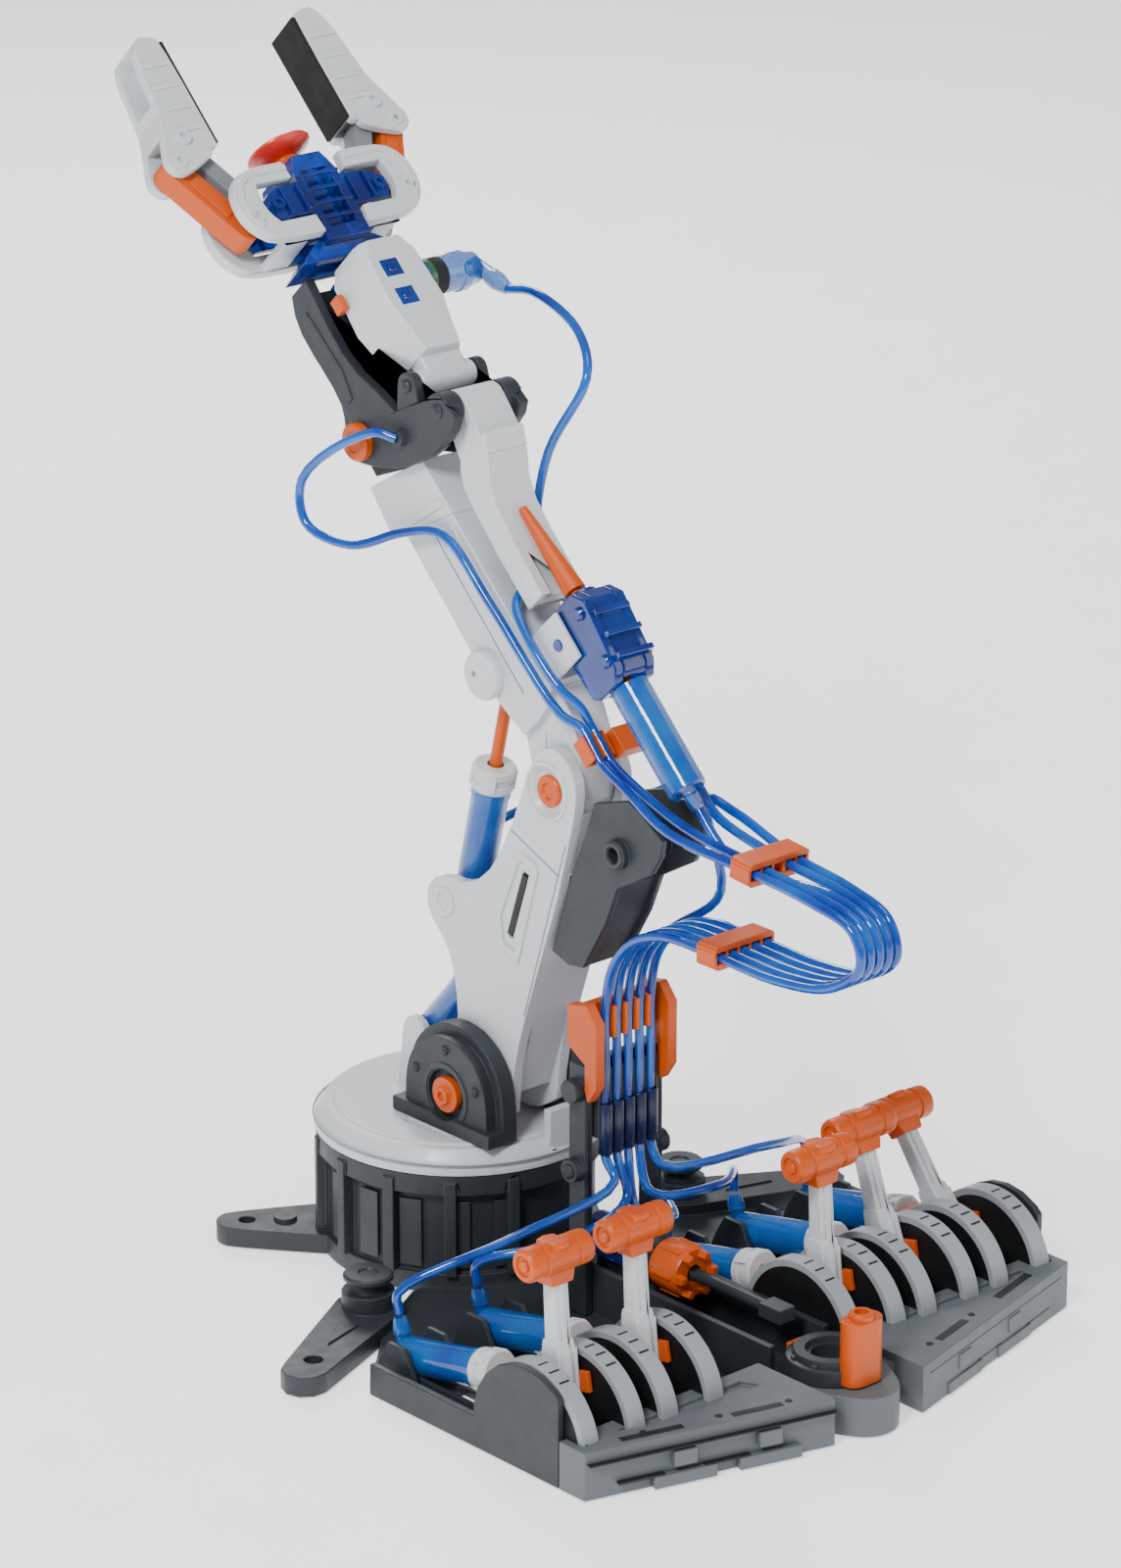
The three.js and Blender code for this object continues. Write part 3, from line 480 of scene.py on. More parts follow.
def spline_span(points, k, steps):
    """Points of a centripetal Catmull-Rom curve from point k to point k + 1."""
    before = points[k - 1] if k else points[0] * 2 - points[1]
    after = points[k + 2] if k + 2 < len(points) else points[-1] * 2 - points[-2]
    knots = [before, points[k], points[k + 1], after]
    gaps = [max(1e-6, (b - a).length) ** 0.5 for a, b in zip(knots, knots[1:])]
    out_slope = ((knots[1] - knots[0]) / gaps[0] - (knots[2] - knots[0]) / (gaps[0] + gaps[1])
                 + (knots[2] - knots[1]) / gaps[1]) * gaps[1]
    in_slope = ((knots[2] - knots[1]) / gaps[1] - (knots[3] - knots[1]) / (gaps[1] + gaps[2])
                + (knots[3] - knots[2]) / gaps[2]) * gaps[1]
    a, b = knots[1], knots[2]
    span = []
    for j in range(steps):
        t = j / steps
        span.append(a * (2 * t**3 - 3 * t**2 + 1) + out_slope * (t**3 - 2 * t**2 + t)
                    + b * (3 * t**2 - 2 * t**3) + in_slope * (t**3 - t**2))
    return span


def tube_rings(line, radius, sides):
    """Rings round a line that turn as little as they can from one to the next."""
    tangents = [(line[min(k + 1,
        len(line) - 1)] - line[max(k - 1, 0)]).normalized() for k in range(len(line))]
    across, _ = frame_of(tangents[0])
    rings = []
    for centre, tangent in zip(line, tangents):
        across = (across - tangent * across.dot(tangent)).normalized()
        other = tangent.cross(across)
        rings.append([centre + (across * math.cos(a) + other * math.sin(a)) * radius
                      for a in (2 * math.pi * n / sides for n in range(sides))])
    return rings


def make_hoses():
    steps = 6
    for number, (points, stretches) in enumerate(hose_routes(), 1):
        line = [p for k in range(len(points) - 1) for p in spline_span(points, k, steps)]
        line.append(points[-1])
        rings = tube_rings(line, HOSE_R, 12)
        for part, (first, last, body, bends_to) in enumerate(stretches, 1):
            span = slice(first * steps, last * steps + 1)
            piece = hose_piece(f"hose_{number}_{part}", rings[span])
            place_hose(piece, body, bends_to)
            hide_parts(f"hose_{number}")


def hose_piece(name, rings):
    bm = bmesh.new()
    vertices = [[bm.verts.new(p * MM) for p in ring] for ring in rings]
    for a, b in zip(vertices, vertices[1:]):
        join_rings(bm, a, b)
    for end in (vertices[0], vertices[-1]):
        bm.faces.new(end)
    return mesh_object(name, bm, "hose")


def place_hose(piece, body, bends_to):
    if bends_to:
        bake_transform(piece)
    else:
        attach(piece, body)


def make_hose_sleeves():
    """Dark collars that gather the hoses below the comb."""
    for n in range(5):
        x = (n - 2) * CHANNEL
        turned(f"hose_sleeve_{n + 1}", Vector((x, -84, 60)), Z, [(0, 1.7), (0, 2.1), (0.4, 2.35),
            (17.6, 2.35), (18, 2.1), (18, 1.7), (0, 1.7)], "navy", "root", 20)


def make_loop_clips():
    """Loose clips that hold the hoses side by side on their loop."""
    for name, y, z, lean, body in (("lower", -134, 144.5, 0.0, "turntable"),
                                   ("upper", -149, 177, 0.1, "lower_arm")):
        centre = Vector((0, y, z))
        along = Vector((0, math.cos(lean), math.sin(lean)))
        up = Vector((0, -math.sin(lean), math.cos(lean)))
        for side in (-1, 1):
            outline = [centre + X * a + up * b * side for a, b in ((-13, 1.9), (13, 1.9), (13, 3.1),
                (11.5, 4.1), (-11.5, 4.1), (-13, 3.1))]
            plate(f"loop_clip_{name}_{'top' if side > 0 else 'bottom'}",
                [p - along * 4.5 for p in outline], along * 9, "orange", body, 0.3)
        for n in range(6):
            x = (n - 2.5) * CHANNEL
            points = [centre + X * (x + a) + up * b for a, b in ((-0.6, -2), (0.6, -2), (0.6, 2),
                (-0.6, 2))]
            plate(f"loop_clip_{name}_rib_{n + 1}", [p - along * 4.2 for p in points], along * 8.4,
                "orange", body, 0.1)


# ---- cylinders ----
def hydraulic(name, foot, axis, length, bodies, rod_end, node, stack=8.5):
    """A see-through barrel with its capped mouth, and the piston on the inner end of its rod."""
    axis = axis.normalized()
    body, rod_body = bodies
    cap, bore = length - 9, 4.9
    turned(f"{name}_barrel", foot, axis, [(0, 0), (0, BARREL_R - 0.8), (0.8, BARREL_R),
        (cap - 2, BARREL_R), (cap - 2, BARREL_R + 0.5), (cap, BARREL_R + 0.5), (cap, bore),
        (1, bore), (1, 0)], "cyan", body)
    seat = rod_end - stack
    for part, tone, low, high, radius in (("piston", "rubber", 0, 0.36, bore - 0.25),
                                          ("seal", "green", 0.36, 0.66, bore - 0.3),
                                          ("plunger", "black", 0.66, 1, bore - 0.5)):
        start, end = seat + low * stack, seat + high * stack
        turned(f"{name}_{part}", foot, axis, [(start, 0), (start, radius - 0.3),
            (start + 0.3, radius), (end - 0.3, radius), (end, radius - 0.3), (end, 0)], tone,
            rod_body, slot=None)
    turned(f"{name}_stem", foot, axis, [(rod_end - 0.4, 0), (rod_end - 0.4, 2.2),
        (rod_end + 1.4, 2.2), (rod_end + 1.4, 0)], "orange", rod_body, slot=None)
    piece = turned(f"{name}_cap", foot, axis, [(cap, 2.9), (cap, 6.6), (cap + 0.6, 7.2),
        (cap + 3, 7.2), (cap + 3.4, 6.7), (length - 3.4, 6.7), (length - 3, 7.2),
        (length - 0.6, 7.2), (length, 6.6), (length, 2.9), (cap, 2.9)], "white", body)
    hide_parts(node)
    u, v = frame_of(axis)
    for n in range(4):
        angle = math.pi / 4 + n * math.pi / 2
        out = u * math.cos(angle) + v * math.sin(angle)
        flat = axis.cross(out)
        root = foot + axis * (cap + 1.2) + out * 6.2
        plate(f"{name}_cap_lug_{n + 1}", strip(root, flat * 1.3, axis * 6.4), out * 1.5, "white",
            body, 0.25)


def make_control_cylinders():
    run, rise = math.cos(CONTROL_TILT), math.sin(CONTROL_TILT)
    axis, up = Vector((0, -run, rise)), Vector((0, rise, run))
    for i, x in enumerate(LEVER_X, 1):
        foot = Vector((x, CONTROL_FOOT_Y, CONTROL_FOOT_Z))
        rod_end = 26 - 15 * math.sin(math.radians(LEVER_LEANS[i - 1]))
        hydraulic(f"control_{i}", foot, axis, 46, ("root", f"control_rod_{i}"), rod_end,
            f"control_cylinder_{i}")
        turned(f"control_{i}_nozzle", foot - axis * 2 - up * 2.4, up, [(0, 0), (0, 2.3), (9, 2.3),
            (9.6, 2.9), (12, 2.9), (15, 2.1), (15, 0)], "cyan", "root")


def make_arm_cylinders():
    for name, length, rod_end in (("shoulder", 38, 24.6), ("elbow", 50, 31.3)):
        axis = Vector(JOINTS[f"{name}_rod_slide"]["axis"])
        foot = joint_at(f"{name}_cylinder_swing")
        body = f"{name}_cylinder"
        hydraulic(f"{name}_ram", foot + axis * 1.5, axis, length - 1.5, (body, f"{name}_rod"),
            rod_end, body, stack=4)
        for label, side in SIDES:
            turned(f"{name}_ram_foot_{label}", foot + X * side * 5, X * side, [(0, 0), (0, 5),
                (1.2, 5), (1.8, 4.4), (1.8, 0)], "blue", body)
            turned(f"{name}_ram_pin_{label}", foot + X * side * 6.8, X * side, [(-1, 0), (-1, 2.2),
                (0.3, 2.2), (0.3, 0)], "orange", body, slot=None)


def make_roll_cylinder():
    centre = FORE(-58, -12.5)
    axis = X
    turned("roll_barrel", centre - X * 8, axis, [(0, 0), (0, 5.6), (0.7, BARREL_R), (38, BARREL_R),
        (38, BARREL_R + 0.5), (41, BARREL_R + 0.5), (41.6, 6.2), (46, 5.6), (46, 0)], "cyan",
        "forearm")
    for name, tone, start, end, radius in (("band", "green", 24, 26, 6.45),
                                           ("piston", "rubber", 26, 31, 6.4)):
        turned(f"roll_{name}", centre - X * 8, axis, [(start, 5.5), (start, radius), (end, radius),
            (end, 5.5), (start, 5.5)], tone, "forearm", slot=None)
    mouth = FORE(-72, -20) - centre
    elbow_piece = turned("roll_nozzle", centre + X * 40.5, mouth, [(-2.8, 0), (-2.8, 2.2),
        (-2.2, 2.8), (7, 2.8), (7.6, 3.2), (11, 3.2), (15.8, 2.1), (15.8, 0)], "cyan", "forearm")
    turned("roll_nozzle_neck", centre + X * 37, axis, [(0, 0), (0, 2.6), (4, 2.4), (4, 0)], "cyan",
        "forearm")
    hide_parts("roll_cylinder")


def make_gripper_cylinder():
    start = FORE(-84, 2.4)
    piece = turned("gripper_barrel", start, ARM_AXIS, [(-4, 0), (-4, 2.2), (0, 2.2), (0, 5.6),
        (0.6, 6.2), (38, 6.2), (38, 0)], "blue", "forearm")
    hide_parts("gripper_cylinder")


def make_crank_cylinder():
    start, axis = Vector((0, -69, 25)), -Y
    barrel = turned("crank_barrel", start, axis, [(0, 0), (0, 6.6), (0.8, 7.4), (28, 7.4), (28, 3),
        (6, 3), (6, 0)], "blue", "root")
    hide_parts("crank_cylinder")
    turned("crank_seal", start, axis, [(26, 3), (26, 7.6), (29, 7.6), (29, 3), (26, 3)], "green",
        "root")
    turned("crank_collar", start, axis, [(29, 3), (29, 7.9), (34, 7.9), (34, 3), (29, 3)], "black",
        "root")
    turned("crank_cap", start, axis, [(34, 3), (34, 8.2), (34.6, 8.6), (46.4, 8.6), (47, 8.2),
        (47, 3), (34, 3)], "orange", "root")
    for n in range(6):
        a = n * math.pi / 3
        out = X * math.cos(a) + Z * math.sin(a)
        flat = axis.cross(out)
        root = start + axis * 46.6 + out * 5.6
        plate(f"crank_prong_{n + 1}", [root + flat * 1.6, root - flat * 1.6,
            root - flat * 1.2 + axis * 3.4, root + flat * 1.2 + axis * 3.4], out * 2.6, "orange",
            "root", 0.3)
        rib = start + axis * 36 + out * 8.2
        plate(f"crank_cap_rib_{n + 1}", strip(rib, flat * 0.7, axis * 9), out * 1, "orange", "root",
            0.2)
    block("crank_cylinder_saddle", (-3, -100, 3.3), (3, -72, 19), "slate", "root", 0.5)


# ---- levers and crank ----
def make_lever(i, lean_degrees):
    body = f"lever_{i}"
    pivot = joint_at(f"lever_{i}_tilt")
    place = in_plane(pivot, math.radians(lean_degrees))
    lower = [(0, -5), (8, -5.5), (12, -4.6), (29, -3.9), (31, -3.1), (31, 3.3), (29, 4), (12, 5),
        (8, 5.5), (0, 5)]
    stem = side_plate(f"{body}_stem", place, lower, -3.6, 3.6, "white", body, 0.5)
    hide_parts(body)
    side_plate(f"{body}_neck", place, [(30, -2.9), (55, -2.5), (55, 2.5), (30, 3.1)], -3.0, 3.0,
        "white", body, 0.4)
    side_plate(f"{body}_spine", place, [(10, -6), (27, -4.6), (30, -3.6), (50, -3.2), (50, -2),
        (10, -4)], -1.1, 1.1, "white", body, 0.3)
    for side in (-1, 1):
        side_plate(f"{body}_rail_{'a' if side < 0 else 'b'}", place, [(13, -4.9), (28, -4.2),
            (28, -3.2), (13, -3.8)], side * 3.55 - 0.45, side * 3.55 + 0.45, "white", body, 0.15)
    turned(f"{body}_hub", pivot - X * 5.8, X, [(0, 0), (0, 4.5), (0.5, 5), (11.1, 5), (11.6, 4.5),
        (11.6, 0)], "white", body)
    make_grip(body, place(58.5, 0), place(1, 0) - pivot)


def make_grip(body, centre, up):
    front = up.cross(X).normalized()
    turned(f"{body}_grip", centre - X * 13, X, [(0.8, 0), (0.8, 3.1), (0, 3.5), (0, 4.7),
        (0.7, 5.4), (1.6, 5.6), (5.4, 5.6), (5.8, 5.1), (6.8, 5.1), (7.2, 5.6), (18.8, 5.6),
        (19.2, 5.1), (20.2, 5.1), (20.6, 5.6), (24.4, 5.6), (25.3, 5.4), (26, 4.7), (26, 3.5),
        (25.2, 3.1), (25.2, 0)], "orange", body)
    turned(f"{body}_grip_button", centre - X * 13.2, X, [(0, 0), (0, 1.6), (0.4, 2), (1.4, 2),
        (1.4, 0)], "orange", body, 20)
    saddle = [centre + X * a + up * b for a, b in ((-5.4, -4), (5.4, -4), (4.4, -8.6),
        (-4.4, -8.6))]
    plate(f"{body}_grip_saddle", [p - front * 3.7 for p in saddle], front * 7.4, "orange", body,
        0.5)
    crest = [centre + X * a - front * b for a, b in ((-3.6, -4.2), (0, -5.4), (3.6, -4.2),
        (3.6, 4.2), (0, 5.4), (-3.6, 4.2))]
    plate(f"{body}_grip_crest", [p + up * 3.0 for p in crest], up * 2.5, "orange", body, 0.6)


def make_crank():
    centre = joint_at("crank_turn")
    top = Vector((centre.x, centre.y, 0))
    ring = turned("crank_ring", top, Z, [(9, 6.5), (9, 14), (9.6, 14.5), (18.6, 14.5), (19, 13.9),
        (19, 12.4), (21, 12), (21, 8.4), (19, 8), (19, 6.5), (9, 6.5)], "slate", "crank", 56)
    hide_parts("crank")
    for n in range(8):
        a = (n + 0.5) * math.pi / 4
        out = X * math.cos(a) + Y * math.sin(a)
        flat = Z.cross(out)
        root = top + Z * 18.8 + out * 12.2
        plate(f"crank_stud_{n + 1}", strip(root, flat, out * 1.4), Z * 1.2, "slate", "crank", 0.2)
    block("crank_tail", (-3.5, -172, 14), (3.5, -163, 18), "orange", "crank", 0.5)
    grip = Vector((0, -193.5, 14))
    plate("crank_grip", oval(grip, X, Y, 3, 4.6), Z * 22, "orange", "crank", 0.5)
    turned("crank_grip_rim", grip + Z * 22, Z, [(-0.2, 2.4), (-0.2, 4.2), (1.4, 4.2), (2, 3.6),
        (2, 2.4), (-0.2, 2.4)], "orange", "crank")


# ---- deck and base details ----
def half_disc(centre, radius, floor=3.4, count=56):
    """The outline of a lever arc, which ends at the tray's floor."""
    low = math.asin((floor - centre.z) / radius)
    turns = [low + (math.pi - 2 * low) * k / count for k in range(count + 1)]
    return [centre + Y * radius * math.cos(a) + Z * radius * math.sin(a) for a in turns]


def wing_plate(name, side, end, share, size, inset, proud, tone, bevel):
    """A plate on the deck's slanting front: size is its half length, its foot and its top."""
    start = Vector((side * 18.5, -203.5, 0))
    along = Vector((end, -203.5 + 0.2727 * abs(end - side * 18.5), 0)) - start
    centre = start + along * share
    along.normalize()
    back = Vector((-along.y, along.x, 0)) * side
    half, low, high = size
    points = [centre + along * a - back * b for a, b in ((-half, proud), (half, proud),
        (half, -inset), (-half, -inset))]
    plate(name, [p + Z * low for p in points], Z * (high - low), tone, "root", bevel, slot=None)


def make_deck_details():
    for side, wing in SIDES:
        end = -104 if wing < 0 else 112
        for n, share in enumerate((0.14, 0.42, 0.72, 0.95), 1):
            x = wing * 19 + (end - wing * 19) * share
            y = -201.5 + 24 * share
            turned(f"deck_{side}_pin_{n}", Vector((x, y + 5.5, 16)), Z, [(0, 0), (0, 1.2),
                (0.6, 1.2), (0.8, 1.0), (0.8, 0)], "black", "root", 16)
        for n, share in enumerate((0.28, 0.62), 1):
            wing_plate(f"deck_{side}_step_{n}", wing, end, share, (11, 0.2, 4.4), 2, 0.7,
                "deck_plain", 0.4)
            wing_plate(f"deck_{side}_latch_{n}", wing, end, share, (4, 6.4, 11.5), 2, 0.5,
                "deck_plain", 0.3)
            wing_plate(f"deck_{side}_gap_{n}", wing, end, share + 0.17, (8, 4.2, 4.9), 2, 0.06,
                "black", 0)
        for n, (share, half) in enumerate(((0.3, 9), (0.72, 11)), 1):
            wing_plate(f"deck_{side}_slot_{n}", wing, end, share, (half, 15.4, 16.56), 7.6, -4.6,
                "black", 0)
        wing_plate(f"deck_{side}_seam", wing, end, 0.5, (44, 12.3, 12.7), 2, 0.05, "black", 0)
    for i, x in enumerate(LEVER_X, 1):
        for side in (-1, 1):
            centre = Vector((x + side * 9.75, LEVER_Y, 11.3))
            label = f"arc_{i}_{'a' if side < 0 else 'b'}"
            plate(f"{label}_rim", half_disc(centre - X * 3.35, 24.75), X * 6.7, "pale", "root",
                0.35)
            plate(f"{label}_cheeks", half_disc(centre - X * 3.5, 22.4), X * 7.0, "black", "root",
                0.1)
            for n in range(3):
                a = math.radians(62 + n * 12)
                out = Vector((0, -math.cos(a), math.sin(a)))
                along = X * side
                root = centre + out * 24.7
                turn = out.cross(X)
                plate(f"{label}_mark_{n + 1}", [root - along * 2 - turn * 0.35,
                    root + along * 2 - turn * 0.35, root + along * 2 + turn * 0.35,
                    root - along * 2 + turn * 0.35], out * 0.2, "black", "root", 0.05)
        turned(f"lever_bay_axle_{i}", Vector((x - 6.4, LEVER_Y, 9.5)), X, [(0, 0), (0, 2.6),
            (12.8, 2.6), (12.8, 0)], "slate", "root", 20, slot=None)


def screw(name, place, axis, radius, tone, body):
    """A pan-head screw with a cross recess."""
    turned(name, place, axis, [(-0.5, 0), (-0.5, radius), (0.5, radius), (1, radius * 0.8),
        (1.2, radius * 0.3), (1.2, 0)], tone, body, 24, slot=None)
    u, v = frame_of(axis.normalized())
    for label, a, b in (("a", u, v), ("b", v, u)):
        points = [place + axis * 0.9 + a * p * radius * 0.55 + b * q * 0.25 for p, q in ((-1, -1),
            (1, -1), (1, 1), (-1, 1))]
        plate(f"{name}_slot_{label}", points, axis * 0.35, tone, body, 0, slot=None)


def make_base_details():
    for n, degrees in enumerate((2.44, 0.7), 1):
        place = Vector((math.cos(degrees) * 60, math.sin(degrees) * 60, 7))
        turned(f"foot_{n}_boss", place, Z, [(-0.5, 0), (-0.5, 4.2), (1.4, 3.8), (1.4, 0)], "slate",
            "root", 24, slot=None)
    for name, side in SIDES:
        turned(f"side_foot_{name}_cap", Vector((side * 70, -34, 16.5)), Z, [(0, 0), (0, 7.4),
            (0.8, 8.4), (1.9, 8.4), (2.6, 7.6), (2.6, 3.4), (2.0, 3.0), (2.0, 0)], "slate", "root",
            36)
        arrow = [(-9, -3.5), (9, 0), (-9, 3.5), (-5, 0)]
        axis = Vector((side * 46, -23, 0)).normalized()
        flat = Z.cross(axis)
        middle = Vector((side * 92, -45, 6.6))
        plate(f"side_foot_{name}_rib", [middle + axis * a + flat * b for a, b in arrow], Z * 1.1,
            "slate", "root", 0.3)
    for n in range(8):
        angle = math.radians(108 + n * 20)
        out = Vector((math.cos(angle), math.sin(angle), 0))
        flat = Z.cross(out)
        root = out * 46.4 + Z * 9
        plate(f"drum_panel_{n + 1}", strip(root, flat * 4, Z * 24), out * 0.7, "slate", "root", 0.3)
    for n, x in enumerate((-93, -71, -38, 43, 77), 1):
        block(f"tray_rib_{n}", (x - 0.9, -122, 3.2), (x + 0.9, -84, 7), "slate", "root", 0.3)
    for name, side in SIDES:
        screw(f"comb_screw_{name}", Vector((side * 21, -78, 55)), X * side, 2.6, "slate", "root")


def make_turntable_details():
    turned("turntable_groove", Vector((0, 0, 46.9)), Z, [(0, 49.6), (0, 50.25), (0.5, 50.25),
        (0.5, 49.6), (0, 49.6)], "grey", "turntable", 96)
    for name, side in SIDES:
        turned(f"shoulder_ring_{name}", SHOULDER + X * side * 23.6, X * side, [(0, 9.2), (0, 11.4),
            (0.8, 11.2), (0.8, 9.4), (0, 9.2)], "slate", "turntable", 48)
        for n, degrees in enumerate((20, 90, 160), 1):
            a = math.radians(degrees)
            place = SHOULDER + Vector((side * 23.9, math.cos(a) * 16, math.sin(a) * 16))
            screw(f"shoulder_screw_{name}_{n}", place, X * side, 1.7, "slate", "turntable")
        turned(f"shoulder_hex_{name}", SHOULDER + X * side * 24.5, X * side, [(0, 0), (0, 3.6),
            (1.6, 3.2), (1.6, 1.8), (0.6, 1.6), (0.6, 0)], "orange", "turntable", 6)


# ---- arm details ----
def make_lower_arm_details():
    for name, side in SIDES:
        x = 12.5 * side
        turned(f"elbow_rim_{name}", ELBOW + X * (x - side * 0.3), X * side, [(0, 8.6), (0, 10.2),
            (1.0, 9.9), (1.0, 8.9), (0, 8.6)], "white", "lower_arm", 48)
        turned(f"elbow_dish_{name}", ELBOW + X * side * 10, X * side, [(0, 0), (0, 8.45),
            (2.4, 8.45), (0.7, 7.0), (0.7, 0)], "white", "lower_arm", 48)
        hub = turned(f"elbow_hub_{name}", ELBOW + X * side * 9.8, X * side, [(0, 0), (0, 5.4),
            (2.0, 5.4), (2.5, 4.9), (2.5, 3.0), (1.7, 2.4), (1.7, 0)], "orange", "lower_arm", 40)
        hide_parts("elbow_pin")
        low, high = sorted((x - side * 0.2, x + side * 0.9))
        frame_outline = [(56, -7), (92, -5.5), (94, -3), (94, 4), (90, 6), (66, 9), (56, 3)]
        inner = [(59, -4.6), (90, -3.4), (91.5, -2), (91.5, 2.6), (89, 3.8), (67, 5.6), (59, 1.6)]
        outline_frame(f"lower_arm_panel_{name}", LOWER, frame_outline, inner, low, high, "white",
            "lower_arm")
        # A black strip flush with the side face: painted shade standing in for the shade inside the
        # slot's recess.
        cheek_plate(f"lower_arm_slot_painted_shade_{name}", LOWER, [(63, -1.3), (87, -1.3), (87, 1.3), (63, 1.3)],
            x, 1.4, 0.06, side, "black", "lower_arm", 0)
        cheek_plate(f"lower_arm_seam_{name}", LOWER, [(40, -15.2), (108, -14.0), (108, -13.5),
            (40, -14.7)], x, 0.3, 0.12, side, "grey", "lower_arm", 0)
        cheek_plate(f"lower_arm_seam_cross_{name}", LOWER, [(96, -14), (96.5, -14), (98.5, 11),
            (98, 11)], x, 0.3, 0.12, side, "grey", "lower_arm", 0)
        turned(f"elbow_ram_boss_{name}", LOWER(55, 32, x - side * 0.4), X * side, [(0, 0), (0, 5.4),
            (1.2, 5), (1.2, 3.2), (0.7, 2.9), (0.7, 0)], "white", "lower_arm", 36)
        turned(f"elbow_ram_bracket_{name}", LOWER(118.7, -35, side * 12.9), X * side, [(0, 2.6),
            (0, 4.6), (0.8, 4.2), (0.8, 3), (0, 2.6)], "slate", "lower_arm", 32)


def outline_frame(name, place, outer, inner, x0, x1, tone, body):
    """A raised frame between two outlines that have the same number of points."""
    bm = bmesh.new()
    loops = [[bm.verts.new(place(s, t, x) * MM) for s, t in outline] for outline, x in ((outer, x0),
        (outer, x1), (inner, x1), (inner, x0))]
    for a, b in zip(loops, loops[1:] + loops[:1]):
        join_rings(bm, a, b)
    return mesh_object(name, bm, tone, body, 0.25)


def make_upper_arm_details():
    for name, side in SIDES:
        turned(f"ram_boss_{name}", UPPER(44.4, -1.1, side * 12.8), X * side, [(-1, 0), (-1, 8.4),
            (0.6, 8.4), (1.4, 7.8), (1.4, 0)], "white", "upper_arm", 44)
        turned(f"ram_boss_dimple_{name}", UPPER(46.6, 1.2, side * 14.1), X * side, [(0, 0),
            (0, 1.1), (0.15, 1.1), (0.15, 0)], "grey", "upper_arm", 20)
        x = side * 11
        cheek_plate(f"upper_arm_seam_{name}", UPPER, [(30, -12.4), (92, -12.4), (92, -11.9),
            (30, -11.9)], x, 0.3, 0.12, side, "grey", "upper_arm", 0)
        cheek_plate(f"upper_arm_panel_{name}", UPPER, [(60, -22), (90, -22), (92, -16), (60, -16)],
            x, 0.3, 0.5, side, "white", "upper_arm", 0.25)
        side_plate(f"collar_step_{name}", UPPER, [(96, -24), (100.5, -2), (103, -2), (99, -24)],
            *sorted((side * 11.4, side * 12.2)), "white", "upper_arm", 0.25)
        turned(f"wrist_cap_{name}", PITCH_PIN + X * side * 16.2, X * side, [(0, 0), (0, 6.4),
            (2.4, 6.4), (3.1, 5.6), (3.1, 3.4), (2.2, 3.0), (2.2, 0)], "orange", "upper_arm", 32)
        turned(f"saddle_pin_{name}", UPPER(33, -38, side * 10.4), X * side, [(0, 0), (0, 2.2),
            (0.8, 1.9), (0.8, 0)], "blue", "upper_arm", 20)
    make_pitch_cylinder()


def make_pitch_cylinder():
    """The clear housing that clips to the saddle, and the barrel that runs down from it."""
    whole = [(12, -37), (42, -35.5), (43, -40), (43, -53), (38, -57), (14, -54), (10, -50),
        (10, -40)]
    below = [(12, -37), (42, -35.5), (43, -40), (43, -41), (10, -41), (10, -40)]
    above = [(43, -51), (43, -53), (38, -57), (14, -54), (11, -51)]
    housing = side_plate("pitch_housing", UPPER, whole, -8.6, -4.7, "blue", "upper_arm", 0.6)
    for label, outline, x0, x1 in (("far", whole, 4.7, 8.6), ("floor", below, -4.75, 4.75),
                                   ("roof", above, -4.75, 4.75)):
        side_plate(f"pitch_housing_{label}", UPPER, outline, x0, x1, "blue", "upper_arm", 0.6)
    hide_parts("pitch_cylinder")
    foot = UPPER(-36, -46)
    turned("pitch_barrel", foot, ARM_AXIS, [(0, 0), (0, 2.0), (1, 2.4), (6, 2.4), (6, 5.8),
        (6.8, 6.6), (45.8, 6.6), (45.8, 4.9), (9, 4.9), (9, 0)], "cyan", "upper_arm")
    turned("pitch_mouth", UPPER(42.6, -46), ARM_AXIS, [(0, 4.6), (0, 6.6), (1.6, 6.2), (1.6, 4.8),
        (0, 4.6)], "blue", "upper_arm")
    for n, s in enumerate((16, 24, 32), 1):
        side_plate(f"pitch_housing_rib_{n}", UPPER, [(s, -54), (s + 2, -54), (s + 2, -58),
            (s, -58)], -7.4, 7.4, "blue", "upper_arm", 0.3)
    for name, side in SIDES:
        for n, s in enumerate((18, 36), 1):
            turned(f"pitch_housing_knob_{name}_{n}", UPPER(s, -52, side * 7.6), X * side, [(0, 0),
                (0, 2.3), (1.8, 2.3), (2.4, 1.7), (2.4, 0)], "blue", "upper_arm", 20)
    for name, tone, start, end, radius in (("piston", "rubber", 14.8, 17.6, 4.6),
                                           ("seal", "green", 17.6, 19.8, 4.5),
                                           ("stem", "orange", 19.8, 36.4, 2.2)):
        turned(f"pitch_{name}", foot, ARM_AXIS, [(start, 0), (start, radius), (end, radius),
            (end, 0)], tone, "pitch_link", slot=None)


def make_pitch_link_details():
    for name, side in SIDES:
        x = side * 8.6
        cheek_plate(f"pitch_link_rail_{name}", UPPER, [(52, -33.5), (90, -33.5), (98, -37),
            (98, -39), (89, -36), (52, -36)], x, 0.3, 0.4, side, "white", "pitch_link", 0.2)


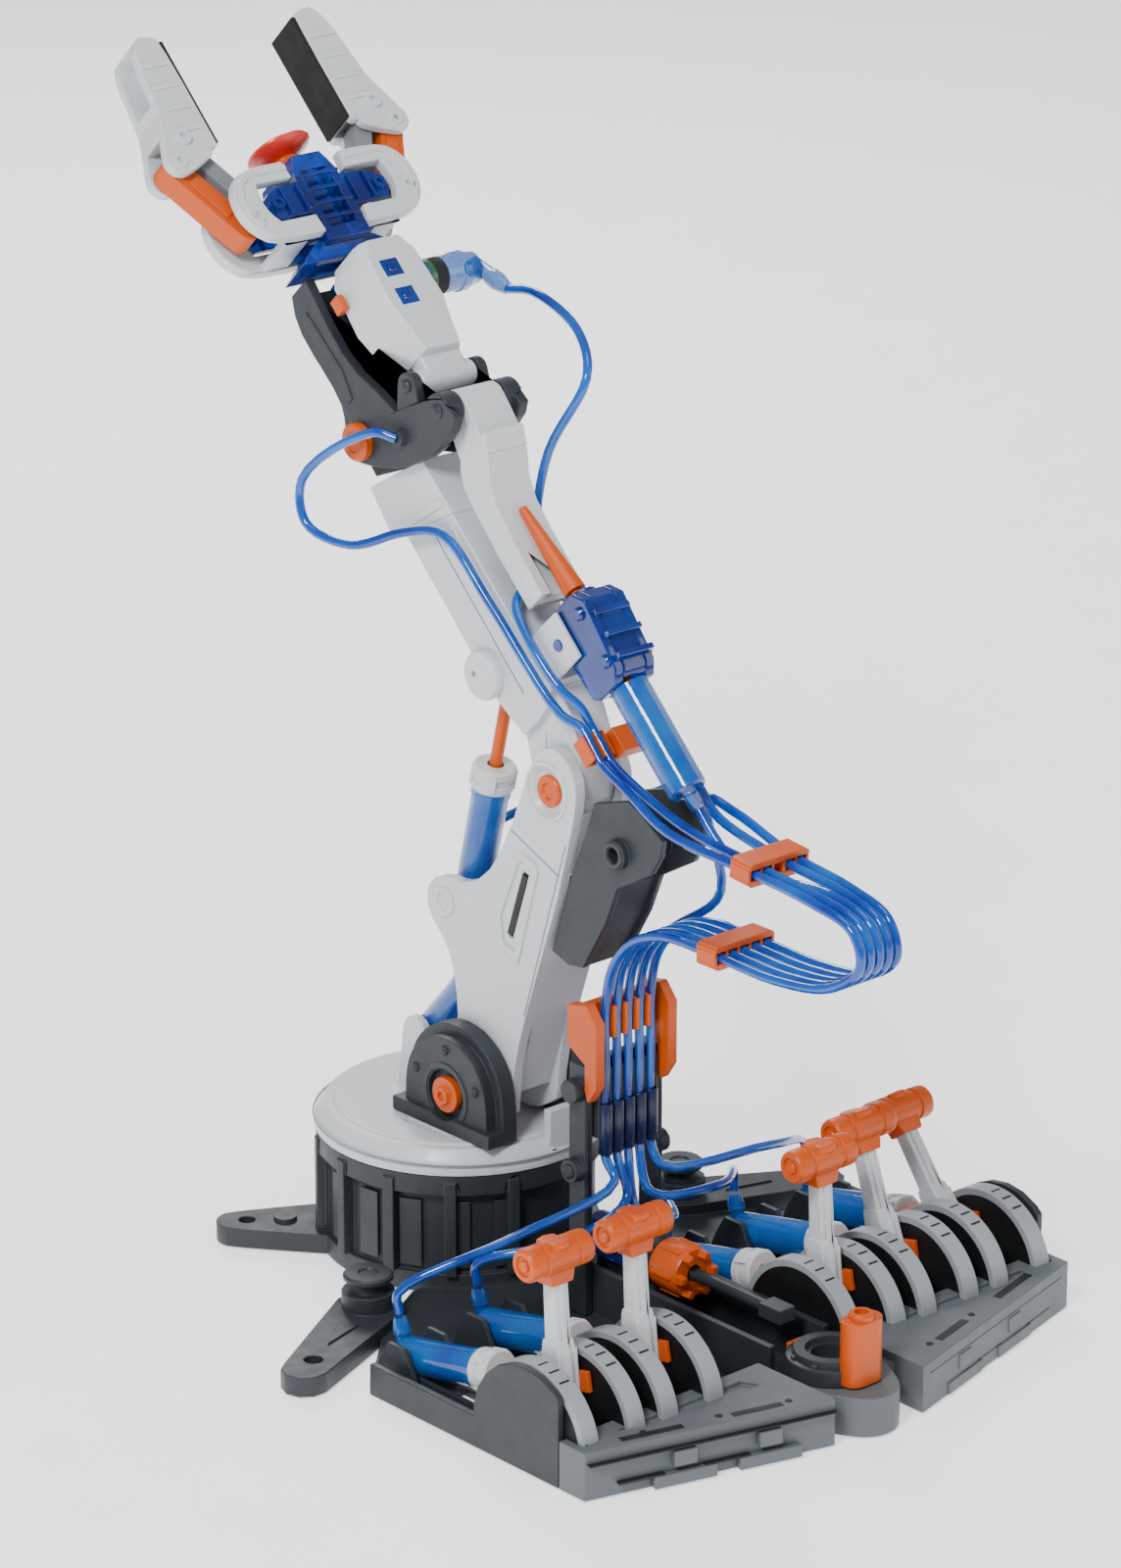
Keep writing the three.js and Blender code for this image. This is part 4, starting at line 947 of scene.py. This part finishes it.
def make_forearm_cover():
    """A moulded lid, widest at its middle, with sloping shoulders all round."""
    outline = [(-44.5, 8.5), (-51, 12.6), (-70, 14), (-80, 11.2), (-89.5, 9.2)]
    middle, depth_steps = -67, ((-4.5, 1.0), (-17.5, 1.0), (-20.6, 0.95), (-23.6, 0.80),
        (-24, 0.74))
    bm = bmesh.new()
    loops = []
    for depth, share in depth_steps:
        half = [(middle + (s - middle) * (0.25 * share + 0.75), x * share) for s, x in outline]
        ring = half + [(s, -x) for s, x in reversed(half)]
        loops.append([bm.verts.new(FORE(s, depth, x) * MM) for s, x in ring])
    for a, b in zip(loops, loops[1:]):
        join_rings(bm, a, b)
    for end in (loops[0], loops[-1]):
        bm.faces.new(end)
    lid = mesh_object("forearm_lid", bm, "white", "forearm", 0.7)
    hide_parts("forearm_cover")
    side_plate("forearm_lid_hinge", FORE, [(-86, -21), (-86, -14), (-95, -13), (-99.5, -14.5),
        (-99.5, -18.5), (-96, -20.4)], -8.6, 8.6, "white", "forearm", 1.2)
    turned("forearm_lid_knuckle", FORE(-96, -16, -11.6), X, [(0, 0), (0, 3.6), (0.6, 4.2),
        (22.6, 4.2), (23.2, 3.6), (23.2, 0)], "white", "forearm")


def make_forearm_details():
    for n, s in enumerate((-57, -68), 1):
        side_plate(f"cover_window_{n}", FORE, [(s - 3.3, -24.1), (s + 3.3, -24.1), (s + 3.3, -20.4),
            (s - 3.3, -20.4)], -6.8, 0.8, "blue", "forearm", 0.3)
        side_plate(f"cover_peg_{n}", FORE, [(s - 1.6, -24.6), (s + 1.6, -24.6), (s + 1.6, -23),
            (s - 1.6, -23)], -4.6, -1.4, "blue", "forearm", 0.3)
    side_plate("cover_tab", FORE, [(-60.6, -8.6), (-55, -8.6), (-55, -4), (-60.6, -4)], -16.6,
        -13.8, "orange", "forearm", 0.4)
    for name, side in SIDES:
        x = side * 16
        cheek_plate(f"forearm_rib_{name}", FORE, [(-50, 9), (-51, 13), (-76, 11), (-84, 13),
            (-84, 10), (-74, 7.5)], x, 0.4, 0.5, side, "slate", "forearm", 0.3)
        screw(f"forearm_screw_{name}_1", FORE(-96, -16, side * 15.8), X * side, 2.2, "slate",
            "forearm")
        screw(f"forearm_screw_{name}_2", FORE(-110.5, -23.1, side * 15.8), X * side, 2.6, "slate",
            "forearm")
    turned("gripper_port", FORE(-107, -2, -15.8), -X, [(0, 0), (0, 3), (2.6, 2.6), (2.6, 0)],
        "slate", "forearm", 24)


# ---- gripper ----
def make_jaw_details():
    for name, side in SIDES:
        body = f"jaw_{name}"
        pad = [FORE(s, t, side * 27.4) for s, t in ((9, -7.6), (50, -7.6), (50, 7.6), (9, 7.6))]
        plate(f"{body}_pad", pad, X * side * 1.6, "rubber", body, 0.25)
        for n in range(4):
            s = 15 + n * 8.5
            for mark, face in FACES:
                points = [FORE(s, face * 7.9, side * 31), FORE(s + 1.4, face * 7.9, side * 31),
                    FORE(s + 1.4, face * 7.9, side * 41.5), FORE(s, face * 7.9, side * 41.5)]
                plate(f"{body}_rib_{n + 1}_{mark}", points, ARM_FRONT * face * 0.7, "white", body,
                    0.2)
        for mark, face in FACES:
            turned(f"{body}_boss_{mark}", FORE(13, face * 7.8, side * 40.5), ARM_FRONT * face,
                [(0, 0), (0, 3), (1.4, 2.7), (1.4, 1.4), (0.5, 1.2), (0.5, 0)], "white", body, 28)
        pivot_pins(name, body)


def pivot_pins(name, body):
    """The visible heads of the gripper's hinge pins, on both faces."""
    outer, inner = joint_at(f"jaw_{name}_turn"), INNER_HINGES[name]
    for label, centre, half, on in (("jaw", outer, 8.0, body), ("bracket", inner, 12.5, "hand")):
        for mark, face in FACES:
            start = centre + ARM_FRONT * face * (half - 0.3)
            turned(f"{label}_pin_{name}_{mark}", start, ARM_FRONT * face, [(0, 0), (0, 2.7),
                (0.9, 2.5), (0.9, 1.3), (0.3, 1.1), (0.3, 0)], "white", on, 24, slot=None)


def make_link_details():
    for name, start in INNER_HINGES.items():
        end = joint_at(f"jaw_{name}_turn")
        along = (end - start).normalized()
        for mark, face in FACES:
            root = start + ARM_FRONT * face * 4.3
            flat = along.cross(ARM_FRONT)
            points = [root + along * a + flat * b for a, b in ((7, -2.2), (24, -2.2), (24, 2.2),
                (7, 2.2))]
            plate(f"outer_link_web_{name}_{mark}", points, ARM_FRONT * face * 0.7, "orange",
                f"outer_link_{name}", 0.3)
        turned(f"outer_link_sleeve_{name}", start + along * 9, along, [(0, 0), (0, 4.2), (14, 4.2),
            (14, 0)], "orange", f"outer_link_{name}", 24)


def make_frame_details():
    """Ribs and clips moulded into the clear gripper frame."""
    for label, face in FACES:
        for n, s in enumerate((-12, -17.5, -23, -28.5), 1):
            points = [FORE(s, face * 10.8, x) for x in (-8.5, 8.5)]
            points += [p + ARM_AXIS * 1.3 for p in reversed(points)]
            plate(f"frame_rib_{label}_{n}", points, ARM_FRONT * face * 1.2, "blue", "hand", 0.2)
        for name, side in SIDES:
            for n, x in enumerate((10, 17), 1):
                points = [FORE(s, face * 10.8, side * x) for s in (-24, -14)]
                points += [p + X * side * 1.4 for p in reversed(points)]
                plate(f"frame_web_{label}_{name}_{n}", points, ARM_FRONT * face * 1.4, "blue",
                    "hand", 0.2)
            turned(f"frame_stud_{label}_{name}", FORE(-19.5, face * 10.9, side * 21.5),
                ARM_FRONT * face, [(0, 0), (0, 2.6), (1.6, 2.4), (1.6, 1.2), (0.8, 1), (0.8, 0)],
                "blue", "hand", 24)
    turned("frame_core", FORE(-33, 0), ARM_AXIS, [(0, 0), (0, 5), (24, 5), (24, 0)], "rubber",
        "hand", 28)
    turned("frame_seal", FORE(-22, 0), ARM_AXIS, [(0, 5.02), (0, 5.4), (3, 5.4), (3, 5.02),
        (0, 5.02)], "green", "hand", 28)


def make_bracket_details():
    for name, side in SIDES:
        for mark, face in FACES:
            outline = [(12, -6.4), (28.4, -6.4), (33.4, -9.8), (35.8, -15.4), (35.8, -22.6),
                (33, -27.8)]
            inset = [(12, -8.4), (27.6, -8.4), (31.8, -11.2), (33.8, -15.8), (33.8, -22.2),
                (31.2, -26.4)]
            points = [FORE(s, face * 12.3, side * x) for x, s in outline + inset[::-1]]
            plate(f"bracket_rib_{name}_{mark}", points, ARM_FRONT * face * 0.8, "white", "hand",
                0.25)


def make_suction_cup():
    cup = turned("cup_lip", HEAD, ARM_AXIS, [(1.2, 0), (1.2, 4.2), (2.0, 6.6), (3.6, 9.8),
        (5.0, 11.4), (5.6, 11.5), (6.0, 11.2), (5.6, 10.7), (4.2, 8.8), (3.0, 5.6), (2.4, 2.4),
        (2.3, 0)], "red", "hand", 48)
    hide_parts("suction_cup")
    turned("cup_neck", HEAD, ARM_AXIS, [(-2.6, 0), (-2.6, 4.4), (-1.8, 5.2), (0.2, 5.6), (1.0, 5.0),
        (1.6, 3.8), (1.6, 0)], "orange", "hand", 36)


# ---- the CAD nodes that keep their shape ----
SLOT_LOOKS = {"white_plastic": ("white", 0.45), "dark_plastic": ("slate", 0.4),
    "deck_plastic": ("deck", 0.4), "black_plastic": ("black", 0.35),
    "orange_plastic": ("orange", 0.3), "grey_plastic": ("grey", 0.35),
    "blue_plastic": ("blue", 0.3), "red_rubber": ("red", 0.2), }
OWN_LOOKS = {"crank_rod": "slate"}
FACET_DEGREES, SHARP_DEGREES = 9, 46
CRISP = ("hose_clamp", "rear_bracket", "arm_clip", "control_chassis")


def edges_between(bm, low, high):
    """Outer edges where two faces meet at an angle in this range, in degrees."""
    return [e for e in bm.edges if len(e.link_faces) == 2
            and math.radians(low) < abs(e.calc_face_angle(0)) <= math.radians(high)]


def rounded_copy(node, name, tone, bevel, is_round):
    """A CAD node's own shape with its faceted curves made round and its edges softened."""
    bm = bmesh.new()
    bm.from_mesh(node.data)
    bmesh.ops.remove_doubles(bm, verts=bm.verts, dist=1e-6)
    bmesh.ops.dissolve_limit(bm, angle_limit=math.radians(1), verts=bm.verts, edges=bm.edges)
    curved = edges_between(bm, FACET_DEGREES, SHARP_DEGREES if is_round else FACET_DEGREES)
    bmesh.ops.bevel(bm, geom=curved, offset=44, offset_type="PERCENT", segments=2, profile=0.5,
        affect="EDGES")
    bmesh.ops.bevel(bm, geom=edges_between(bm, SHARP_DEGREES, 180), offset=bevel * MM,
        offset_type="OFFSET", segments=2, profile=0.5, affect="EDGES")
    corners = [Vector(c) for c in node.bound_box]
    for vertex in bm.verts:
        for k in range(3):
            vertex.co[k] = min(max(vertex.co[k], corners[0][k]), corners[6][k])
    piece = mesh_object(name, bm, tone, slot=None)
    piece.data.set_sharp_from_angle(angle=math.radians(50))
    shading = piece.modifiers.new("even_shading", "WEIGHTED_NORMAL")
    shading.keep_sharp = True
    return piece


def dress_nodes():
    """A softened copy for each CAD node that no other piece stands for."""
    body_of = {n: b for b, names in frame["record"]["behaviour"]["bodies"].items() for n in names}
    slots = {s["node"]: s["material_slot"] for s in frame["record"]["subparts"]}
    for name, node in frame["nodes"].items():
        if node.hide_render:
            continue
        look, bevel = SLOT_LOOKS[slots[name]]
        piece = rounded_copy(node, f"{name}_skin", OWN_LOOKS.get(name, look), bevel,
            name not in CRISP)
        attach(piece, body_of[name])
        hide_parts(name)


make_camera()
MATERIALS = make_materials()
make_hoses()
make_light()
make_floor()
make_loop_clips()
make_hose_sleeves()
make_control_cylinders()
make_arm_cylinders()
make_roll_cylinder()
make_gripper_cylinder()
make_crank_cylinder()
for number, lever_lean in enumerate(LEVER_LEANS, 1):
    make_lever(number, lever_lean)
make_crank()
make_deck_details()
make_base_details()
make_turntable_details()
make_lower_arm_details()
make_upper_arm_details()
make_pitch_link_details()
make_forearm_cover()
make_forearm_details()
make_jaw_details()
make_link_details()
make_frame_details()
make_bracket_details()
make_suction_cup()
dress_nodes()
